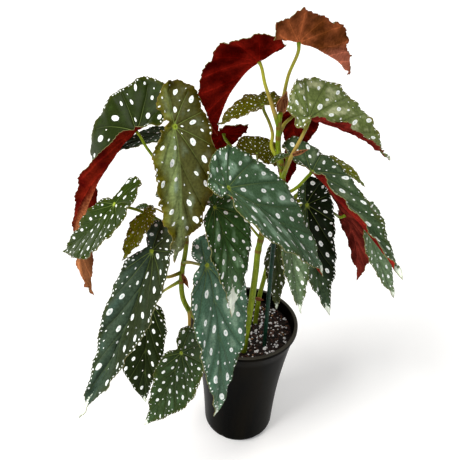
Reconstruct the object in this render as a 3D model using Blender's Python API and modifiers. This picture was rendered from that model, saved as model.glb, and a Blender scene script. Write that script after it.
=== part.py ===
# A potted begonia: a tall nursery pot filled with potting mix, a plant stake,
# three leafy canes and their angel-wing leaves. Metres, +Z up, the origin at
# the middle of the pot's foot, and -Y towards the viewer.

import math
import random
from dataclasses import dataclass

import bmesh
import bpy
from mathutils import Quaternion, Vector
from mathutils.bvhtree import BVHTree

MM = 0.001
GAP = 0.3

# Pot
POT_HEIGHT = 170.0
RIM_RADIUS = 65.0
WALL_RADIUS_TOP = 62.3
FOOT_RADIUS = 44.5
FOOT_ROUNDING = 8.0
WALL_HOLLOW = 3.5
WALL_RINGS = 8
INSIDE_ROUNDING = 12.0
RIM_DEPTH = 7.0
WALL = 1.6
DRAIN_COUNT = 6
DRAIN_RADIUS = 6.0
DRAIN_FIRST_DEG = 3.0
POT_STEPS = 36

# Potting mix. Its gap is wider than the rest, for the flats of the pot's wall.
SOIL_HEIGHT = 155.0
SOIL_GAP = 0.5
SOIL_BUMP = 1.6
SOIL_RINGS = 5
SOIL_STEPS = 28
ROOT_DEPTH = 27.0
HOLE_RISE = 10.0

# Stake
STAKE_RADIUS = 2.4
STAKE_PLACE = (25.0, -26.0)
STAKE_TOP = 308.0
STAKE_TIP = 4.0

# Leaf blades
BLADE_THICKNESS = 0.9
TOOTH = 0.018
TOOTHED_UP_TO = 0.9
RIPPLE_STEP = 2.1
FOLD_FADES_OVER = 0.15
RING_FRACTIONS = (0.34, 0.68, 1.0)
SMALL_RING_FRACTIONS = (0.55, 1.0)
SMALL_BLADE = 35.0

# Canes, with the radius at the foot and at the top, and their leaf stalks
MAIN_RADII = (3.9, 2.3)
LEFT_RADII = (3.3, 2.4)
BACK_RADII = (3.0, 2.2)
CANE_RESOLUTION = 2
STALK_ROOT_RADIUS = 2.5
STALK_RADIUS = 1.6
STALK_RESOLUTION = 1
STALK_END_LENGTH = 6.0
SMALL_STALK_SCALE = 0.6
ROUTE_SAMPLES = 2
SEAT_SEARCH = 4.0
SEAT_RAYS = 12

# The half outline on the wide side of a blade, from the notch at the stalk to
# the tip, and on the narrow side, from the tip back. The stalk is at (0, 0),
# the tip at (1, 0), and the wide side has the large rounded base lobe.
WIDE_SIDE = [
    (-0.03, -0.05), (-0.12, -0.10), (-0.24, -0.10), (-0.33, -0.03), (-0.36, 0.07),
    (-0.33, 0.17), (-0.25, 0.25), (-0.12, 0.30), (0.05, 0.33), (0.22, 0.335),
    (0.40, 0.305), (0.56, 0.245), (0.70, 0.17), (0.82, 0.10), (0.92, 0.04),
]
NARROW_SIDE = [
    (0.93, -0.02), (0.84, -0.055), (0.73, -0.10), (0.60, -0.15), (0.46, -0.19),
    (0.32, -0.21), (0.20, -0.205), (0.10, -0.175), (0.03, -0.12), (0.0, -0.075),
]


@dataclass
class Leaf:
    """One blade: where its stalk ends, how it hangs and how it is shaped.

    at: the stalk's end on the blade's top face. heading: the compass angle of
    the midrib, from +X towards +Y. pitch and droop: the midrib's slope at the
    stalk and what it turns down by at the tip. roll: the left half raised.
    wide_fold and narrow_fold: how far each half is folded up from flat.
    """
    name: str
    at: tuple
    heading: float
    pitch: float
    droop: float
    length: float
    side: int = 1
    roll: float = 0.0
    twist: float = 0.0
    wide_fold: float = 8.0
    narrow_fold: float = 8.0
    wide: float = 1.0
    narrow: float = 1.0
    lobe: float = 1.0
    bend: float = 0.0
    wave: float = 0.012
    colour: str = "leaf_green"


LEAVES = [
    Leaf("leaf_left_long", (-117, 5, 404), 194, -40, -79, 215, -1, -8, 115, 33, 70, 0.72, 0.36,
         0.68, -15),
    Leaf("leaf_centre_left", (-73, -50, 433), 290, -48, -55, 128, 1, -3, 4, 18, 8, 0.72, 0.83,
         0.93, -9, 0.025),
    Leaf("leaf_left_side", (-133, -45, 349), 177, -50, -9, 109, 1, -16, 0, 4, 24, 1.26, 0.82,
         1.02, -36),
    Leaf("leaf_low_left", (-96, -60, 307), 244, -58, 11, 179, 1, 1, 2, 29, 28, 0.62, 0.68,
         0.51, -13),
    Leaf("leaf_low_inner", (-110, -10, 200), 261, -58, -17, 125, -1, -2, 0, 11, 5, 1.07, 0.87,
         1.0, -4),
    Leaf("leaf_low_front", (-68, -70, 181), 229, -67, 5, 102, 1, -3, -1, 11, 10, 1.13, 1.0,
         0.91, -17),
    Leaf("leaf_pot_front", (-42, -70, 300), 305, -59, -21, 161, 1, -4, 3, 0, 10, 0.74, 0.88,
         0.5, -16),
    Leaf("leaf_centre_dark", (-36, -66, 363), 311, -52, -28, 107, 1, -4, -3, 1, 9, 0.94, 0.98,
         0.45, -12),
    Leaf("leaf_centre_front", (-24, -102, 402), 16, -32, -21, 137, 1, 23, 8, 11, 14, 0.96, 1.39,
         0.41, -12),
    Leaf("leaf_right_inner", (56, -14, 340), 295, -69, -6, 129, 1, -3, 1, 12, 19, 0.65, 0.75,
         0.6, 19),
    Leaf("leaf_right_small", (36, -46, 331), 289, -59, -18, 90, 1, -1, 0, 25, 22, 0.57, 0.72,
         0.5, 10),
    Leaf("leaf_right_narrow", (32, 2, 285), 279, -74, -10, 87, 1, 2, 0, 15, 15, 0.38, 0.8,
         0.5, 3),
    Leaf("leaf_right_long", (52, -49, 394), 324, -28, -20, 129, 1, -11, 2, 24, 33, 0.65, 0.79,
         0.85, 9),
    Leaf("leaf_upper_right", (44, -50, 445), 17, -16, -27, 102, 1, 22, 0, 23, 76, 1.22, 0.37,
         0.55, 2, 0.02),
    Leaf("leaf_right_hanging", (96, -20, 333), 31, -55, -28, 105, -1, -2, -2, -2, 9, 0.71, 1.12,
         1.5, -2),
    Leaf("leaf_right_far", (115, -40, 334), 309, -62, 6, 80, 1, -2, 3, 6, 8, 0.78, 0.86, 0.8, 14),
    Leaf("leaf_right_olive", (62, -18, 387), 346, 6, -51, 52, 1, 1, 2, 9, 8,
         colour="leaf_olive"),
    Leaf("leaf_top", (28, -50, 509), 31, -17, -13, 93, -1, -8, 0, 76, 34, 0.80, 0.9, 0.75, -34,
         0.03, "leaf_maroon"),
    Leaf("leaf_top_red", (-2, -30, 487), 142, -38, -42, 98, 1, -2, 0, 40, 34, 1.10, 1.0, 0.91, -4,
         0.02, "leaf_maroon"),
    Leaf("leaf_upper_red", (36, -4, 434), 80, -57, -18, 65, -1, 3, 0, 5, 7, 1.06, 0.97, 0.6, -2,
         0.012, "leaf_maroon"),
    Leaf("leaf_upper_young", (4, -22, 446), 194, -10, -27, 45, -1, -8, -1, 20, 11, 1.0, 1.0, 1.2,
         wave=0.03, colour="leaf_olive"),
    Leaf("leaf_mid_red", (-31, 5, 406), 110, -36, -27, 76, -1, 11, -1, 13, 21, 0.97, 1.18, 1.04, 1,
         0.012, "leaf_maroon"),
    Leaf("leaf_mid_young", (2, -20, 397), 8, -20, -20, 31, 1, 45, 0, 30, 8, 1.6, 1.0, 2.0,
         0, 0.03, "leaf_olive"),
    Leaf("leaf_mid_bud", (18, -56, 408), 29, 25, -34, 17, colour="leaf_green"),
    Leaf("leaf_mid_crinkled", (32, -12, 390), 85, -70, -10, 40, -1, wide=0.75, wave=0.03,
         colour="leaf_maroon"),
    Leaf("leaf_left_behind", (-88, 25, 396), 188, -8, -27, 62, 1, -6, -3, 7, 11, 0.81, 1.04),
    Leaf("leaf_left_young", (-103, -50, 341), 219, -50, -14, 51, 1, 1, -3, 9, 9, lobe=0.6,
         wave=0.03, colour="leaf_olive"),
    Leaf("leaf_left_bud", (-106, -14, 331), 184, 2, -40, 17, 1, -8, narrow_fold=13),
    Leaf("leaf_left_bud_upper", (-94, 0, 339), 52, 27, -21, 17),
    Leaf("leaf_centre_bud", (-30, -20, 348), 137, 26, -21, 21),
]

MAIN_CANE = [
    (1, -37, 158), (3, -37, 192), (6, -37, 232), (8, -37, 272), (9, -36, 297),
    (16, -34, 335), (27, -32, 368), (25, -32, 392), (21, -32, 407), (19, -32, 441),
]
LEFT_CANE = [
    (-46, -5, 158), (-55, -8, 174), (-65, -10, 191), (-71, -12, 208), (-73, -13, 229),
    (-72, -14, 247), (-67, -15, 284), (-67, -15, 310), (-70, -15, 345),
]
BACK_CANE = [
    (15, 12, 158), (17, 14, 190), (22, 18, 222), (28, 20, 260), (37, 18, 299), (48, 14, 335),
]

# For each leaf on a cane: the height that its stalk leaves the cane at, and
# the places that the stalk passes on its way to the blade.
MAIN_STALKS = {
    "leaf_centre_left": (318, [(-24, -33, 366), (-38, -38, 406), (-47, -44, 426)]),
    "leaf_centre_dark": (330, [(-9, -36, 347), (-28, -47, 358)]),
    "leaf_centre_front": (345, [(6, -62, 368), (-10, -84, 385)]),
    "leaf_right_long": (358, [(39, -40, 371)]),
    "leaf_upper_right": (378, [(31, -56, 412), (38, -57, 431)]),
    "leaf_top": (434, [(22, -23, 452), (24, -31, 476)]),
    "leaf_top_red": (430, [(11, -34, 452), (4, -36, 470)]),
    "leaf_upper_red": (420, [(25, -22, 428)]),
    "leaf_upper_young": (394, [(15, -26, 407), (15, -24, 419), (11, -22, 430)]),
    "leaf_mid_red": (362, [(-5, -10, 380)]),
    "leaf_mid_young": (372, [(14, -20, 374), (6, -16, 380)]),
    "leaf_mid_bud": (388, [(21, -46, 398)]),
    "leaf_mid_crinkled": (362, [(29, -26, 378), (31, -22, 388)]),
    "leaf_centre_bud": (310, [(-14, -26, 335)]),
}
LEFT_STALKS = {
    "leaf_left_long": (340, [(-84, -5, 355), (-98, 0, 376), (-108, 2, 390)]),
    "leaf_left_behind": (335, [(-76, 8, 370)]),
    "leaf_left_side": (291, [(-88, -22, 315), (-110, -34, 336), (-121, -38, 342)]),
    "leaf_left_young": (300, [(-84, -30, 318), (-94, -40, 328)]),
    "leaf_left_bud": (300, [(-86, -8, 316), (-98, -8, 324)]),
    "leaf_left_bud_upper": (308, [(-82, -2, 322)]),
    "leaf_low_left": (248, [(-86, -25, 249), (-94, -36, 262)]),
    "leaf_low_inner": (236, [(-86, -9, 223), (-96, 2, 207)]),
    "leaf_low_front": (191, [(-63, -26, 190), (-63, -45, 178)]),
    "leaf_pot_front": (262, [(-60, -34, 276), (-48, -54, 288)]),
}
BACK_STALKS = {
    "leaf_right_inner": (318, []),
    "leaf_right_small": (290, [(46, 0, 305), (44, -24, 320)]),
    "leaf_right_narrow": (258, []),
    "leaf_right_hanging": (318, [(70, 14, 325), (88, 2, 322)]),
    "leaf_right_far": (326, [(90, 14, 338), (107, -12, 331)]),
    "leaf_right_olive": (332, [(57, 10, 352), (60, 2, 374)]),
}

# Papery stipules: foot, tip and width.
STIPULES = {
    "sheath_top": ((19.6, -32, 442.3), (23.5, -35, 463), 5.0),
    "stipule_pink": ((31, -59.9, 415), (44, -64.6, 423), 2.0),
    "stipule_left": ((-70.7, -18.0, 247), (-64, -22.6, 233), 2.6),
    "stipule_back": ((13, 9.95, 196), (23, 8.95, 194), 2.4),
}


def clear_scene():
    for obj in list(bpy.data.objects):
        bpy.data.objects.remove(obj, do_unlink=True)


def new_collection(name):
    collection = bpy.data.collections.new(name)
    bpy.context.scene.collection.children.link(collection)
    return collection


def make_material(name, colour, roughness):
    material = bpy.data.materials.new(name)
    material.use_nodes = True
    shader = material.node_tree.nodes["Principled BSDF"]
    shader.inputs["Base Color"].default_value = (*colour, 1.0)
    shader.inputs["Roughness"].default_value = roughness
    shader.inputs["Metallic"].default_value = 0.0
    return material


def add_object(name, data, collection, material=None):
    obj = bpy.data.objects.new(name, data)
    collection.objects.link(obj)
    if material is not None:
        data.materials.append(material)
    return obj


def evaluated_mesh(obj):
    graph = bpy.context.evaluated_depsgraph_get()
    return bpy.data.meshes.new_from_object(obj.evaluated_get(graph))


def apply_modifiers(obj, material):
    """Put the evaluated mesh, with one material, in place of the modifiers."""
    mesh = evaluated_mesh(obj)
    mesh.materials.clear()
    mesh.materials.append(material)
    obj.modifiers.clear()
    obj.data = mesh


def smooth(mesh, angle_deg=35.0):
    mesh.shade_smooth()
    mesh.set_sharp_from_angle(angle=math.radians(angle_deg))


def turned(name, profile, steps, collection, material):
    """A closed turned body. The profile runs in (radius, height), millimetres."""
    mesh = bpy.data.meshes.new(name)
    points = [(radius * MM, 0.0, height * MM) for radius, height in profile]
    edges = [(i, i + 1) for i in range(len(points) - 1)]
    mesh.from_pydata(points, edges, [])
    obj = add_object(name, mesh, collection, material)
    screw = obj.modifiers.new("turn", "SCREW")
    screw.axis = "Z"
    screw.steps = steps
    screw.render_steps = steps
    screw.use_merge_vertices = True
    screw.merge_threshold = 0.00001
    return obj


def add_cutter(name, radius, depth, location, rotation=(0, 0, 0), vertices=20):
    bpy.ops.mesh.primitive_cylinder_add(
        vertices=vertices, radius=radius * MM, depth=depth * MM,
        location=Vector(location) * MM, rotation=rotation)
    cutter = bpy.context.object
    cutter.name = name
    for owner in list(cutter.users_collection):
        owner.objects.unlink(cutter)
    cutters.objects.link(cutter)
    cutter.hide_render = True
    cutter.display_type = "WIRE"
    return cutter


def cut(obj, cutter):
    boolean = obj.modifiers.new("cut_" + cutter.name, "BOOLEAN")
    boolean.operation = "DIFFERENCE"
    boolean.object = cutter


def arc(centre, radius, start_deg, end_deg, count):
    points = []
    for i in range(count + 1):
        angle = math.radians(start_deg + (end_deg - start_deg) * i / count)
        points.append((centre[0] + radius * math.cos(angle), centre[1] + radius * math.sin(angle)))
    return points


def wall_radius(height):
    """The pot's outer radius at a height, above the rounded foot."""
    share = (height - FOOT_ROUNDING) / (POT_HEIGHT - RIM_DEPTH - FOOT_ROUNDING)
    straight = FOOT_RADIUS + (WALL_RADIUS_TOP - FOOT_RADIUS) * share
    return straight - WALL_HOLLOW * math.sin(math.pi * share)


def wall_line(start, end, inwards=0.0):
    """Points down or up the wall, moved in by the given distance."""
    points = []
    for i in range(WALL_RINGS + 1):
        height = start + (end - start) * i / WALL_RINGS
        points.append((wall_radius(height) - inwards, height))
    return points


def build_pot():
    lip = RIM_RADIUS - WALL_RADIUS_TOP
    outer = [
        (RIM_RADIUS - 1.0, POT_HEIGHT),
        (RIM_RADIUS, POT_HEIGHT - 1.0),
        (RIM_RADIUS, POT_HEIGHT - RIM_DEPTH + lip),
    ]
    outer += wall_line(POT_HEIGHT - RIM_DEPTH, FOOT_ROUNDING)
    foot = arc((FOOT_RADIUS - FOOT_ROUNDING, FOOT_ROUNDING), FOOT_ROUNDING, 0, -90, 4)[1:]
    inner = [
        (0.0, 0.0),
        (0.0, WALL),
        (FOOT_RADIUS - FOOT_ROUNDING, WALL),
    ]
    inner += wall_line(INSIDE_ROUNDING, POT_HEIGHT - RIM_DEPTH, WALL)
    inner += [
        (WALL_RADIUS_TOP - WALL, POT_HEIGHT - 0.5),
        (WALL_RADIUS_TOP - WALL + 0.5, POT_HEIGHT),
        (RIM_RADIUS - 1.0, POT_HEIGHT),
    ]
    pot = turned("pot", outer + foot + inner, POT_STEPS, parts, pot_plastic)
    for i in range(DRAIN_COUNT):
        angle = math.radians(DRAIN_FIRST_DEG + 360.0 * i / DRAIN_COUNT)
        place = (FOOT_RADIUS * math.cos(angle), FOOT_RADIUS * math.sin(angle), 0.0)
        turn = (0.0, math.radians(90.0), angle)
        cut(pot, add_cutter(f"drain_{i}", DRAIN_RADIUS, 10.0, place, turn, 16))
    apply_modifiers(pot, pot_plastic)
    smooth(pot.data)
    return pot


def build_soil(holes):
    """The filled-in mix: a turned body whose top is raised into small lumps."""
    draw = random.Random(5)
    bm = bmesh.new()
    floor = WALL + GAP
    sides = wall_line(SOIL_HEIGHT, INSIDE_ROUNDING, WALL + SOIL_GAP)
    sides.append((FOOT_RADIUS - FOOT_ROUNDING - SOIL_GAP, floor))
    rings = []
    top_radius = sides[0][0]
    for ring in range(1, SOIL_RINGS):
        radius = top_radius * ring / SOIL_RINGS
        rings.append((radius, SOIL_HEIGHT, SOIL_BUMP))
    rings += [(radius, height, 0.0) for radius, height in sides]
    centre = bm.verts.new((0, 0, SOIL_HEIGHT * MM))
    loops = []
    for radius, height, bump in rings:
        loop = []
        for i in range(SOIL_STEPS):
            angle = 2 * math.pi * i / SOIL_STEPS
            rise = draw.uniform(-bump, bump)
            loop.append(bm.verts.new((radius * math.cos(angle) * MM,
                                      radius * math.sin(angle) * MM, (height + rise) * MM)))
        loops.append(loop)
    bottom = bm.verts.new((0, 0, floor * MM))
    for i in range(SOIL_STEPS):
        k = (i + 1) % SOIL_STEPS
        bm.faces.new((centre, loops[0][i], loops[0][k]))
        bm.faces.new((bottom, loops[-1][k], loops[-1][i]))
        for upper, lower in zip(loops, loops[1:]):
            bm.faces.new((upper[i], lower[i], lower[k], upper[k]))
    bmesh.ops.triangulate(bm, faces=bm.faces[:])
    mesh = bpy.data.meshes.new("potting_mix")
    bm.to_mesh(mesh)
    bm.free()
    soil = add_object("potting_mix", mesh, parts, soil_brown)
    for name, (x, y), radius in holes:
        top = SOIL_HEIGHT + HOLE_RISE
        depth = HOLE_RISE + ROOT_DEPTH + GAP
        cut(soil, add_cutter(name, radius + GAP, depth, (x, y, top - depth / 2), vertices=16))
    apply_modifiers(soil, soil_brown)
    smooth(soil.data)
    return soil


def build_stake():
    x, y = STAKE_PLACE
    foot = SOIL_HEIGHT - ROOT_DEPTH
    profile = [
        (0.0, STAKE_TOP),
        (STAKE_RADIUS * 0.6, STAKE_TOP - 1.0),
        (STAKE_RADIUS, STAKE_TOP - STAKE_TIP),
        (STAKE_RADIUS, foot + STAKE_TIP),
        (STAKE_RADIUS * 0.4, foot),
        (0.0, foot),
    ]
    stake = turned("stake", profile, 12, parts, stake_green)
    stake.location = (x * MM, y * MM, 0.0)
    apply_modifiers(stake, stake_green)
    smooth(stake.data, 50.0)
    return stake


def blade_point(leaf, u, v):
    """The place of outline point (u, v) on the blade's top face, in millimetres."""
    heading = math.radians(leaf.heading)
    ahead = Vector((math.cos(heading), math.sin(heading), 0.0))
    left = Vector((-math.sin(heading), math.cos(heading), 0.0))
    up = Vector((0.0, 0.0, 1.0))
    pitch = math.radians(leaf.pitch)
    droop = math.radians(leaf.droop)
    along = min(max(u, 0.0), 1.0)
    slope = pitch + droop * along
    reach = (math.sin(slope) - math.sin(pitch)) / droop
    rise = (math.cos(pitch) - math.cos(slope)) / droop
    back = min(u, 0.0) * leaf.lobe
    reach += back * math.cos(pitch)
    rise += back * math.sin(pitch)
    normal = up * math.cos(slope) - ahead * math.sin(slope)
    roll = math.radians(leaf.roll + leaf.twist * along)
    across = left * math.cos(roll) + normal * math.sin(roll)
    normal = normal * math.cos(roll) - left * math.sin(roll)
    if v >= 0.0:
        fold = math.radians(leaf.wide_fold)
        width = leaf.wide
    else:
        fade = min(max(1.0 + u / FOLD_FADES_OVER, 0.0), 1.0)
        fold = math.radians(leaf.narrow_fold) * fade
        width = leaf.wide if u < 0.0 else leaf.narrow
    side = leaf.side * math.radians(leaf.bend) * along ** 2 / 2
    side += leaf.side * v * width * math.cos(fold)
    lift = abs(v) * width * math.sin(fold)
    place = ahead * reach + up * rise + across * side + normal * lift
    return Vector(leaf.at) + place * leaf.length, normal


def blade_surface(leaf):
    """The top face: rings of the toothed outline, fanned round the stalk."""
    outline = WIDE_SIDE + [(1.0, 0.0)] + NARROW_SIDE
    fractions = RING_FRACTIONS
    if leaf.length < SMALL_BLADE:
        outline = WIDE_SIDE[::2] + [(1.0, 0.0)] + NARROW_SIDE[1::2]
        fractions = SMALL_RING_FRACTIONS
    count = len(outline)
    points = [blade_point(leaf, 0.0, 0.0)[0]]
    for fraction in fractions:
        for i, (u, v) in enumerate(outline):
            tooth = 1.0
            if fraction == 1.0 and u < TOOTHED_UP_TO:
                tooth += TOOTH * (-1) ** i
            place, normal = blade_point(leaf, u * fraction * tooth, v * fraction * tooth)
            ripple = math.sin(i * RIPPLE_STEP + leaf.length) * leaf.wave * leaf.length
            points.append(place + normal * ripple * fraction ** 2)
    faces = []
    for i in range(count):
        k = (i + 1) % count
        faces.append((0, 1 + i, 1 + k))
        for ring in range(len(fractions) - 1):
            inner = 1 + ring * count
            outer = inner + count
            faces.append((inner + i, outer + i, outer + k))
            faces.append((inner + i, outer + k, inner + k))
    if leaf.side > 0:
        faces = [face[::-1] for face in faces]
    return points, faces


def build_blade(leaf):
    points, faces = blade_surface(leaf)
    mesh = bpy.data.meshes.new(leaf.name)
    mesh.from_pydata([point * MM for point in points], [], faces)
    mesh.update()
    stalk_normal = mesh.vertices[0].normal.copy()
    material = leaf_materials[leaf.colour]
    obj = add_object(leaf.name, mesh, parts, material)
    solidify = obj.modifiers.new("thickness", "SOLIDIFY")
    solidify.thickness = BLADE_THICKNESS * MM
    solidify.offset = -1.0
    apply_modifiers(obj, material)
    smooth(obj.data, 60.0)
    return obj, stalk_normal


def smooth_route(points, samples):
    """Points read from a smooth curve through the given ones.

    The curve is a Catmull-Rom spline whose knots follow the square root of
    the distances, so that it doesn't swing out where two points are close.
    """
    ends = [points[0] * 2 - points[1]] + points + [points[-1] * 2 - points[-2]]
    route = []
    for a, b, c, d in zip(ends, ends[1:], ends[2:], ends[3:]):
        first = math.sqrt((b - a).length)
        middle = math.sqrt((c - b).length)
        last = math.sqrt((d - c).length)
        leave = ((b - a) / first - (c - a) / (first + middle) + (c - b) / middle) * middle
        arrive = ((c - b) / middle - (d - b) / (middle + last) + (d - c) / last) * middle
        for i in range(samples):
            t = i / samples
            route.append(b * (2 * t ** 3 - 3 * t ** 2 + 1) + leave * (t ** 3 - 2 * t ** 2 + t)
                         + c * (3 * t ** 2 - 2 * t ** 3) + arrive * (t ** 3 - t ** 2))
    route.append(points[-1])
    return route


def tube_mesh(name, route, radii, resolution):
    """A closed tube along a route, with a radius at each of its points."""
    curve = bpy.data.curves.new(name, "CURVE")
    curve.dimensions = "3D"
    curve.bevel_depth = MM
    curve.bevel_resolution = resolution
    curve.use_fill_caps = True
    spline = curve.splines.new("POLY")
    spline.points.add(len(route) - 1)
    for point, place, radius in zip(spline.points, route, radii):
        point.co = (*(place * MM), 1.0)
        point.radius = radius
    guide = add_object(name + "_guide", curve, parts)
    mesh = evaluated_mesh(guide)
    bpy.data.objects.remove(guide, do_unlink=True)
    bm = bmesh.new()
    bm.from_mesh(mesh)
    bmesh.ops.remove_doubles(bm, verts=bm.verts[:], dist=0.00002)
    bmesh.ops.recalc_face_normals(bm, faces=bm.faces[:])
    bm.to_mesh(mesh)
    bm.free()
    return mesh


def point_at_height(route, height):
    for lower, upper in zip(route, route[1:]):
        if lower.z <= height <= upper.z:
            share = (height - lower.z) / (upper.z - lower.z)
            return lower.lerp(upper, share)
    return route[-1].copy()


def seat(leaf, normal, radius):
    """The stalk's end: as near to the blade's underside as its rim allows."""
    mesh = bpy.data.objects[leaf.name].data
    polygons = [polygon.vertices for polygon in mesh.polygons]
    corners = [vertex.co / MM for vertex in mesh.vertices]
    blade = BVHTree.FromPolygons(corners, polygons)
    across = normal.orthogonal().normalized()
    below = Vector(leaf.at) - normal * SEAT_SEARCH
    reach = SEAT_SEARCH
    for i in range(SEAT_RAYS):
        turn = Quaternion(normal, 2 * math.pi * i / SEAT_RAYS)
        for share in (0.5, 1.0):
            start = below + turn @ across * radius * share
            hit = blade.ray_cast(start, normal)
            if hit[0] is not None:
                reach = min(reach, hit[3])
    reach = min(reach, blade.ray_cast(below, normal)[3])
    return below + normal * (reach - GAP)


def stalk_route(leaf, normal, start, passes):
    """From the cane's middle, past the given places, to the blade's underside."""
    scale = SMALL_STALK_SCALE if leaf.length < SMALL_BLADE else 1.0
    end = seat(leaf, normal, STALK_RADIUS * scale)
    before = end - normal * STALK_END_LENGTH * scale
    points = [start] + [Vector(place) for place in passes] + [before, end]
    route = smooth_route(points, ROUTE_SAMPLES)
    radii = []
    for i in range(len(route)):
        share = i / (len(route) - 1)
        flare = (STALK_ROOT_RADIUS - STALK_RADIUS) * (1 - share) ** 3
        radii.append((STALK_RADIUS + flare) * scale)
    return route, radii


def build_stem(name, cane_points, base_radius, top_radius, stalks, normals):
    """A cane with its leaf stalks grown out of it, joined into one body."""
    points = [Vector(point) for point in cane_points]
    foot = Vector((points[0].x, points[0].y, SOIL_HEIGHT - ROOT_DEPTH))
    route = [foot] + smooth_route(points, ROUTE_SAMPLES)
    radii = []
    for i in range(len(route)):
        radii.append(base_radius + (top_radius - base_radius) * i / (len(route) - 1))
    cane = tube_mesh(name, route, radii, CANE_RESOLUTION)
    stem = add_object(name, cane, parts, stem_green)
    branch_set = new_collection(name + "_stalks")
    for leaf_name, (height, passes) in stalks.items():
        leaf = leaf_by_name[leaf_name]
        start = point_at_height(route, height)
        way, widths = stalk_route(leaf, normals[leaf_name], start, passes)
        stalk = tube_mesh(leaf_name + "_stalk", way, widths, STALK_RESOLUTION)
        add_object(leaf_name + "_stalk", stalk, branch_set)
    union = stem.modifiers.new("join", "BOOLEAN")
    union.operation = "UNION"
    union.operand_type = "COLLECTION"
    union.collection = branch_set
    union.solver = "EXACT"
    union.use_self = True
    apply_modifiers(stem, stem_green)
    smooth(stem.data, 50.0)
    for obj in list(branch_set.objects):
        bpy.data.objects.remove(obj, do_unlink=True)
    bpy.data.collections.remove(branch_set)
    return stem


def build_stipule(name, foot, tip, width):
    """A small papery scale: a tube that swells and then ends in a point."""
    foot = Vector(foot)
    tip = Vector(tip)
    shares = (0.0, 0.25, 0.6, 0.85, 1.0)
    widths = (0.6, 1.0, 0.85, 0.5, 0.15)
    route = [foot.lerp(tip, share) for share in shares]
    mesh = tube_mesh(name, route, [width * w for w in widths], 1)
    smooth(mesh, 50.0)
    return add_object(name, mesh, parts, sheath_brown)


clear_scene()
parts = new_collection("potted_begonia")
cutters = new_collection("cutters")

pot_plastic = make_material("pot_plastic", (0.012, 0.011, 0.010), 0.38)
soil_brown = make_material("soil_brown", (0.035, 0.018, 0.012), 0.95)
stake_green = make_material("stake_green", (0.006, 0.045, 0.025), 0.45)
stem_green = make_material("stem_green", (0.20, 0.26, 0.035), 0.5)
sheath_brown = make_material("sheath_brown", (0.22, 0.09, 0.04), 0.8)
leaf_materials = {
    "leaf_green": make_material("leaf_green", (0.035, 0.075, 0.035), 0.42),
    "leaf_olive": make_material("leaf_olive", (0.10, 0.11, 0.015), 0.45),
    "leaf_maroon": make_material("leaf_maroon", (0.14, 0.012, 0.010), 0.5),
}
leaf_by_name = {leaf.name: leaf for leaf in LEAVES}

blade_normals = {}
for leaf in LEAVES:
    blade, blade_normals[leaf.name] = build_blade(leaf)

build_stem("stem_main", MAIN_CANE, *MAIN_RADII, MAIN_STALKS, blade_normals)
build_stem("stem_left", LEFT_CANE, *LEFT_RADII, LEFT_STALKS, blade_normals)
build_stem("stem_back", BACK_CANE, *BACK_RADII, BACK_STALKS, blade_normals)
for stipule_name, (stipule_foot, stipule_tip, stipule_width) in STIPULES.items():
    build_stipule(stipule_name, stipule_foot, stipule_tip, stipule_width)

build_stake()
build_pot()
build_soil([
    ("hole_main", MAIN_CANE[0][:2], MAIN_RADII[0]),
    ("hole_left", LEFT_CANE[0][:2], LEFT_RADII[0]),
    ("hole_back", BACK_CANE[0][:2], BACK_RADII[0]),
    ("hole_stake", STAKE_PLACE, STAKE_RADIUS),
])
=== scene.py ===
# Looks for the potted begonia: fine leaves with their veins, teeth and spots, canes with
# nodes, a nursery pot with potting mix, and the light and camera of the photograph.

import math
import random
from dataclasses import dataclass

import bmesh
import bpy
import numpy as np
from mathutils import Matrix, Vector, noise
from mathutils.geometry import delaunay_2d_cdt


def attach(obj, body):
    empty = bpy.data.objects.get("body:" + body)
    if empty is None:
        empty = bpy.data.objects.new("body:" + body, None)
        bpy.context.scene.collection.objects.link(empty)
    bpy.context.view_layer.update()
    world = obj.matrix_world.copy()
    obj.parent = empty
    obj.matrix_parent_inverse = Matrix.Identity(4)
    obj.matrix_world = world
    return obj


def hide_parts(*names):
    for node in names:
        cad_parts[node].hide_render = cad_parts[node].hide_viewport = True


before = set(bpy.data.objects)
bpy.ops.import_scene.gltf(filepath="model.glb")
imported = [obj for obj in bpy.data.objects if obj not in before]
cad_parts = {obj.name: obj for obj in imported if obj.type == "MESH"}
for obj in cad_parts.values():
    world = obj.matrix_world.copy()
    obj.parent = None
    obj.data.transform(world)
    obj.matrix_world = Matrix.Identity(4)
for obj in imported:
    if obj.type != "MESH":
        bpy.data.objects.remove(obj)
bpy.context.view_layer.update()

MM = 0.001

# Camera: the image size in pixels, the focal length in pixels, and the place and tilt
IMAGE = 460
FOCAL = 560.0
SENSOR = 36.0
CAMERA_PLACE = (-20.8, -511.5, 619.5)
CAMERA_DOWN_DEG = 32.243
CAMERA_ROLL_DEG = 2.355

# The mix node's sockets for two colours and their mixture
MIX_A, MIX_B = 6, 7
MIX_RESULT = 2

# Shared values of the shading
NOISE_ROUGHNESS = 0.55
VEIN_GREEN = "#7f9448"
STALK_SEAT_GREEN = "#a4b83a"
TIP_WHITE = "#e6eede"
UNDER_RIM_RED = "#7a3a28"

# Stage
FLOOR_SIZE = 30.0
FLOOR_CORNERS = [(-1, -1), (1, -1), (1, 1), (-1, 1)]
SKY_TINT = (0.98, 0.99, 1.0, 1.0)
SKY_STRENGTH = 0.42
FLOOR_GLOW = 0.18

# Lamps: where the light comes from, its strength, its angle in degrees and its tint
SUNS = {
    "key": ((-0.8, -0.5, 0.9), 3.0, 30.0, (1.0, 0.99, 0.96)),
    "back": ((0.6, 0.75, 0.9), 0.8, 40.0, (1.0, 0.95, 0.88)),
}

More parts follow.
